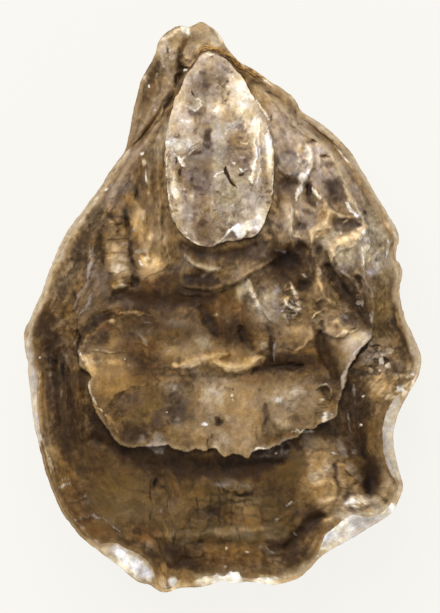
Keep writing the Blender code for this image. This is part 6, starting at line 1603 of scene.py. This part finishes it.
def makeCup():
    segments, shelfRings, outerRings = meshDetail["cup"]
    turns = evenTurns(deepReach, segments)
    inner, edge = reach(flatReach, turns), reach(deepReach, turns)
    lift, halfGap = seamLift(turns), shell["seamGap"] / 2
    rings = []
    for share in (0.0, 0.6, 0.93):  # inside, hidden by the flat valve
        x, y = atTurns(shell["middle"], turns, inner * share)
        rings.append((x, y, lift * share**3 - halfGap))
    start = inner - cup["shelfBack"]
    for share in np.linspace(0, 1, shelfRings):  # the shelf outside the flat valve's margin, and the beak
        x, y = atTurns(shell["middle"], turns, start + (edge - start) * share)
        beak = smooth(29, 38, y)
        rough = 0.16 * fractal(x, y, 1.8, 4, 80, 0.6) + 0.35 * fractal(x, y, 1.1, 4, 81, 0.6) * beak
        ribs = 0.25 * np.sin((x * 0.95 - y * 0.3) * 2.6 + 1.5 * fractal(x, y, 5, 2, 82)) * beak
        beyond = polar(x, y)[0] - inner
        closed = cup["closing"] * smooth(-0.4, -0.1, beyond) * smooth(42, 34, y)
        height = lift - halfGap + beakHeight(x, y) + rough * 0.6 + closed + ribs * smooth(-9, -12, x)
        rings.append((x, y, height))
    rim = rings[-1][2]
    for share in 1 - np.linspace(0, 1, outerRings)[1:] ** 1.7:  # the outside, down to the foot
        slide = (1 - share) ** 1.2
        x, y = atTurns(shell["middle"], turns, edge * share)
        x = x + (cup["foot"][0] - shell["middle"][0]) * slide
        y = y + (cup["foot"][1] - shell["middle"][1]) * slide
        z = cupProfile(y, share) + (rim + 0.3) * np.exp(-(1 - share) / 0.012)
        uneven = 1.5 * fractal(turns * 16.1, np.full_like(turns, share * 40), 3.0, 3, 83)
        layers = (1 - share) * cup["growthSteps"] + uneven
        frill = cup["frill"] * (layers - np.floor(layers)) ** 2
        frill = frill * smooth(0.15, 0.5, share) * smooth(1.0, 0.97, share)
        fold = cup["folds"] * np.sin(turns * cup["foldCount"] + 1.2 * np.sin(turns * 3))
        fold = fold * share**2 * smooth(1.0, 0.93, share)
        rough = 0.16 * fractal(x, y, 2.0, 4, 84) * smooth(0.2, 0.5, share)
        out = frill + fold + rough
        tilt = np.clip(share**3, 0.15, 0.9)
        x, y = x + out * tilt * np.cos(turns), y + out * tilt * np.sin(turns)
        z = np.maximum(z - out * (1 - tilt), -shell["seamHeight"])
        rings.append((x, y, z))
    piece, x, y, z = wrappedGrid("cup", stacked(rings))
    color = weatheredAndShaded(x, y, painted(x, y, ground["cup"], cupPaint, 74), 0.8, 0.4, 74)
    below = smooth(-0.8, -3.2, z)[:, None]
    givePaint(piece, color + below * (outside(x, y, z, 88) - color))
    return piece


tongue = makeTongue()
plate = makePlate()
apron = makeApron()
cupShell = makeCup()
print("valves made")


def shaderColor(red, green, blue):
    return (*linear(np.array([red, green, blue]) / 255), 1.0)


def addNode(tree, kind, values=None, **settings):
    node = tree.nodes.new(kind)
    for key, value in settings.items():
        setattr(node, key, value)
    for key, value in (values or {}).items():
        if isinstance(value, bpy.types.NodeSocket):
            tree.links.new(value, node.inputs[key])
        else:
            node.inputs[key].default_value = value
    return node


def maths(tree, operation, a, b=0.0, clamp=False):
    return addNode(tree, "ShaderNodeMath", {0: a, 1: b}, operation=operation, use_clamp=clamp).outputs[0]


def mixed(tree, factor, a, b, blend="MIX"):
    node = addNode(tree, "ShaderNodeMix", {0: factor, 6: a, 7: b}, data_type="RGBA", blend_type=blend)
    return node.outputs[2]


def grain(tree, place, size, detail=4.0, rough=0.6, distort=0.0):  # noise with blobs that many mm wide
    values = {"Vector": place, "Scale": 1.0 / (size * mm), "Detail": detail}
    values.update({"Roughness": rough, "Distortion": distort})
    return addNode(tree, "ShaderNodeTexNoise", values).outputs[0]


def ramped(tree, value, low, high, ends=(0.0, 1.0)):
    # the value's place between low and high, spread over the ends
    settings = {0: value, 1: low, 2: high, 3: ends[0], 4: ends[1]}
    return addNode(tree, "ShaderNodeMapRange", settings).outputs[0]


def bumped(tree, surface, height, strength, deep):  # a bump that many mm deep
    values = {"Height": height, "Strength": strength, "Distance": deep * mm}
    tree.links.new(addNode(tree, "ShaderNodeBump", values).outputs[0], surface.inputs["Normal"])


def newMaterial(name):
    material = bpy.data.materials.new(name)
    material.use_nodes = True
    return material, material.node_tree.nodes["Principled BSDF"]


def newGroup(name, inputs, outputs):
    group = bpy.data.node_groups.new(name, "ShaderNodeTree")
    for label, kind, value in inputs:
        socket = group.interface.new_socket(label, in_out="INPUT", socket_type=kind)
        socket.default_value = value
    for label, kind in outputs:
        group.interface.new_socket(label, in_out="OUTPUT", socket_type=kind)
    return group, group.nodes.new("NodeGroupInput"), group.nodes.new("NodeGroupOutput")


def makeGritGroup():
    # fine grit over the paint: the colour a little lighter and darker, and a height for the bump
    number, tint = "NodeSocketFloat", "NodeSocketColor"
    inputs = [("Paint", tint, (0.2, 0.15, 0.1, 1)), ("Grain Size", number, 0.4), ("Contrast", number, 0.3)]
    outputs = [("Color", tint), ("Height", number), ("Damp", number)]
    group, start, end = newGroup("shellGrit", inputs, outputs)
    place = addNode(group, "ShaderNodeTexCoord").outputs["Object"]
    scale = maths(group, "DIVIDE", 1 / mm, start.outputs["Grain Size"])
    values = {"Vector": place, "Scale": scale, "Detail": 5.0, "Roughness": 0.7}
    fine = addNode(group, "ShaderNodeTexNoise", values).outputs[0]
    wet = grain(group, place, 6.0, 4.0, 0.6, 0.4)
    shade = maths(group, "MULTIPLY", maths(group, "SUBTRACT", fine, 0.5), start.outputs["Contrast"])
    shade = maths(group, "ADD", maths(group, "MULTIPLY", shade, 2.0), 1.0)
    dimmed = addNode(group, "ShaderNodeCombineColor", {0: shade, 1: shade, 2: shade}).outputs[0]
    group.links.new(mixed(group, 1.0, start.outputs["Paint"], dimmed, "MULTIPLY"), end.inputs["Color"])
    group.links.new(fine, end.inputs["Height"])
    group.links.new(ramped(group, wet, 0.42, 0.6), end.inputs["Damp"])
    return group


gritGroup = makeGritGroup()
finishes = {  # one for each piece, with its roughness where it is dry and where it is damp
    "tongueShell": {"grain": 0.45, "contrast": 0.30, "rough": (0.62, 0.45), "bump": 0.5},
    "plateShell": {"grain": 0.45, "contrast": 0.30, "rough": (0.60, 0.36), "bump": 0.5},
    "apronShell": {"grain": 0.45, "contrast": 0.34, "rough": (0.60, 0.34), "bump": 0.6},
    "cupShell": {"grain": 0.5, "contrast": 0.30, "rough": (0.66, 0.5), "bump": 0.6},
}
gloss, bumpDepth = 0.14, 0.3


def shellMaterial(name):
    finish = finishes[name]
    material, surface = newMaterial(name)
    tree = material.node_tree
    paint = addNode(tree, "ShaderNodeAttribute", attribute_name="shellPaint").outputs["Color"]
    grit = addNode(tree, "ShaderNodeGroup", node_tree=gritGroup)
    tree.links.new(paint, grit.inputs["Paint"])
    grit.inputs["Grain Size"].default_value = finish["grain"]
    grit.inputs["Contrast"].default_value = finish["contrast"]
    tree.links.new(grit.outputs["Color"], surface.inputs["Base Color"])
    rough = ramped(tree, grit.outputs["Damp"], 0.0, 1.0, finish["rough"])
    uneven = maths(tree, "MULTIPLY", maths(tree, "SUBTRACT", grit.outputs["Height"], 0.5), 0.5)
    tree.links.new(maths(tree, "ADD", rough, uneven, True), surface.inputs["Roughness"])
    surface.inputs["Specular IOR Level"].default_value = gloss
    bumped(tree, surface, grit.outputs["Height"], finish["bump"], bumpDepth)
    return material


for piece, name in zip((tongue, plate, apron, cupShell), finishes):
    piece.data.materials.append(shellMaterial(name))
print("materials made")

# The hinge band, with the directions it spans in degrees.
ligament = {
    "span": (80, 95),
    "steps": 40,
    "offset": 0.9,
    "lift": 0.45,
    "radius": 0.2,
    "strands": 3,
    "strandGap": 0.3,
    "rough": 0.35,
}


def makeLigament():
    curve = bpy.data.curves.new("hingeBand", "CURVE")
    curve.dimensions = "3D"
    curve.bevel_depth = ligament["radius"] * mm
    curve.bevel_resolution = 3
    curve.use_fill_caps = True
    steps = ligament["steps"]
    turns = np.radians(np.linspace(*ligament["span"], steps))
    for strand in range(ligament["strands"]):
        aside = ligament["strandGap"] * (strand - 1) + 0.12 * np.sin(np.arange(steps) * 0.7 + strand)
        x, y = atTurns(shell["middle"], turns, reach(flatReach, turns) + ligament["offset"] + aside)
        z = seamLift(turns) + beakHeight(x, y) + ligament["lift"] - 0.25 * abs(strand - 1)
        spline = curve.splines.new("POLY")
        spline.points.add(steps - 1)
        for k, point in enumerate(spline.points):
            point.co = (*((np.array([x[k], y[k], z[k]]) + frameZero) * mm), 1.0)
            point.radius = 0.55 + 0.45 * math.sin(math.pi * k / (steps - 1))
    curvePiece = addPiece("hingeBandCurve", curve)
    mesh = bpy.data.meshes.new_from_object(curvePiece.evaluated_get(bpy.context.evaluated_depsgraph_get()))
    bpy.data.objects.remove(curvePiece)
    mesh.name = "hingeBand"
    mesh.shade_smooth()
    material, surface = newMaterial("hornBand")
    tree = material.node_tree
    place = addNode(tree, "ShaderNodeTexCoord").outputs["Object"]
    streak = ramped(tree, grain(tree, place, 0.8, 5.0), 0.35, 0.65)
    horn = mixed(tree, streak, shaderColor(104, 70, 36), shaderColor(206, 160, 88))
    tree.links.new(horn, surface.inputs["Base Color"])
    surface.inputs["Roughness"].default_value = ligament["rough"]
    bumped(tree, surface, grain(tree, place, 0.3), 0.4, 0.1)
    mesh.materials.clear()
    mesh.materials.append(material)
    return addPiece("hingeBand", mesh)


hingeBand = makeLigament()
print("hinge band made")

for piece, node, slot in (
    (cupShell, "deep_valve", "deep_valve"),
    (apron, "flat_valve", "flat_valve"),
    (plate, None, "flat_valve"),
    (tongue, None, "flat_valve"),
    (hingeBand, "ligament", "ligament"),
):
    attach(piece, "root")
    if node:
        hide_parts(node)

# The floor, the light and the camera. The picture shows frameHeight millimetres from top to bottom.
studio = {
    "floor": (248, 246, 241),
    "floorGlow": 0.93,
    "sky": (1.0, 0.99, 0.97, 1.0),
    "skyStrength": 0.46,
    "key": {"power": 3.4, "size": 0.50, "place": (-0.12, 0.34, 0.48)},
    "fill": {"power": 0.4, "size": 0.6, "place": (0.3, -0.5, 0.5)},
    "aim": (0, 0, 0.02),
    "frameHeight": 122.6,
    "lens": 200.0,
    "sensor": 36.0,
    "lookAt": (-0.48, 0.14),
}


def makeFloor():
    bm = bmesh.new()
    bmesh.ops.create_grid(bm, x_segments=1, y_segments=1, size=2.0)
    mesh = bpy.data.meshes.new("floor")
    bm.to_mesh(mesh)
    bm.free()
    material, surface = newMaterial("paleFloor")
    color, glow = shaderColor(*studio["floor"]), studio["floorGlow"]
    settings = {
        "Base Color": (*(c * (1 - glow) for c in color[:3]), 1.0),
        "Roughness": 0.9,
        "Specular IOR Level": 0.0,
        "Emission Color": color,
        "Emission Strength": glow,
    }
    for key, value in settings.items():
        surface.inputs[key].default_value = value
    mesh.materials.append(material)
    addPiece("floor", mesh)


def makeLight(name, settings):
    light = bpy.data.lights.new(name, "AREA")
    light.shape = "DISK"
    light.size = settings["size"]
    light.energy = settings["power"]
    lamp = addPiece(name, light)
    lamp.location = settings["place"]
    dx, dy, dz = np.array(studio["aim"]) - np.array(settings["place"])
    lamp.rotation_euler = (math.atan2(math.hypot(dx, dy), -dz), 0, math.atan2(dy, dx) - math.pi / 2)


def makeCamera():
    camera = bpy.data.cameras.new("camera")
    camera.lens = studio["lens"]
    camera.sensor_width = studio["sensor"]
    camera.clip_start, camera.clip_end = 0.01, 10.0
    distance = studio["frameHeight"] * studio["lens"] / studio["sensor"]
    viewer = addPiece("camera", camera)
    viewer.location = np.array([*studio["lookAt"], distance + shell["seamHeight"]]) * mm
    bpy.context.scene.camera = viewer


makeFloor()
makeLight("keyLight", studio["key"])
makeLight("fillLight", studio["fill"])
makeCamera()
world = bpy.data.worlds.new("studioLight")
world.use_nodes = True
sky = world.node_tree.nodes["Background"].inputs
sky["Color"].default_value = studio["sky"]
sky["Strength"].default_value = studio["skyStrength"]
bpy.context.scene.world = world
bpy.context.scene.view_settings.view_transform = "Standard"
print("studio made")
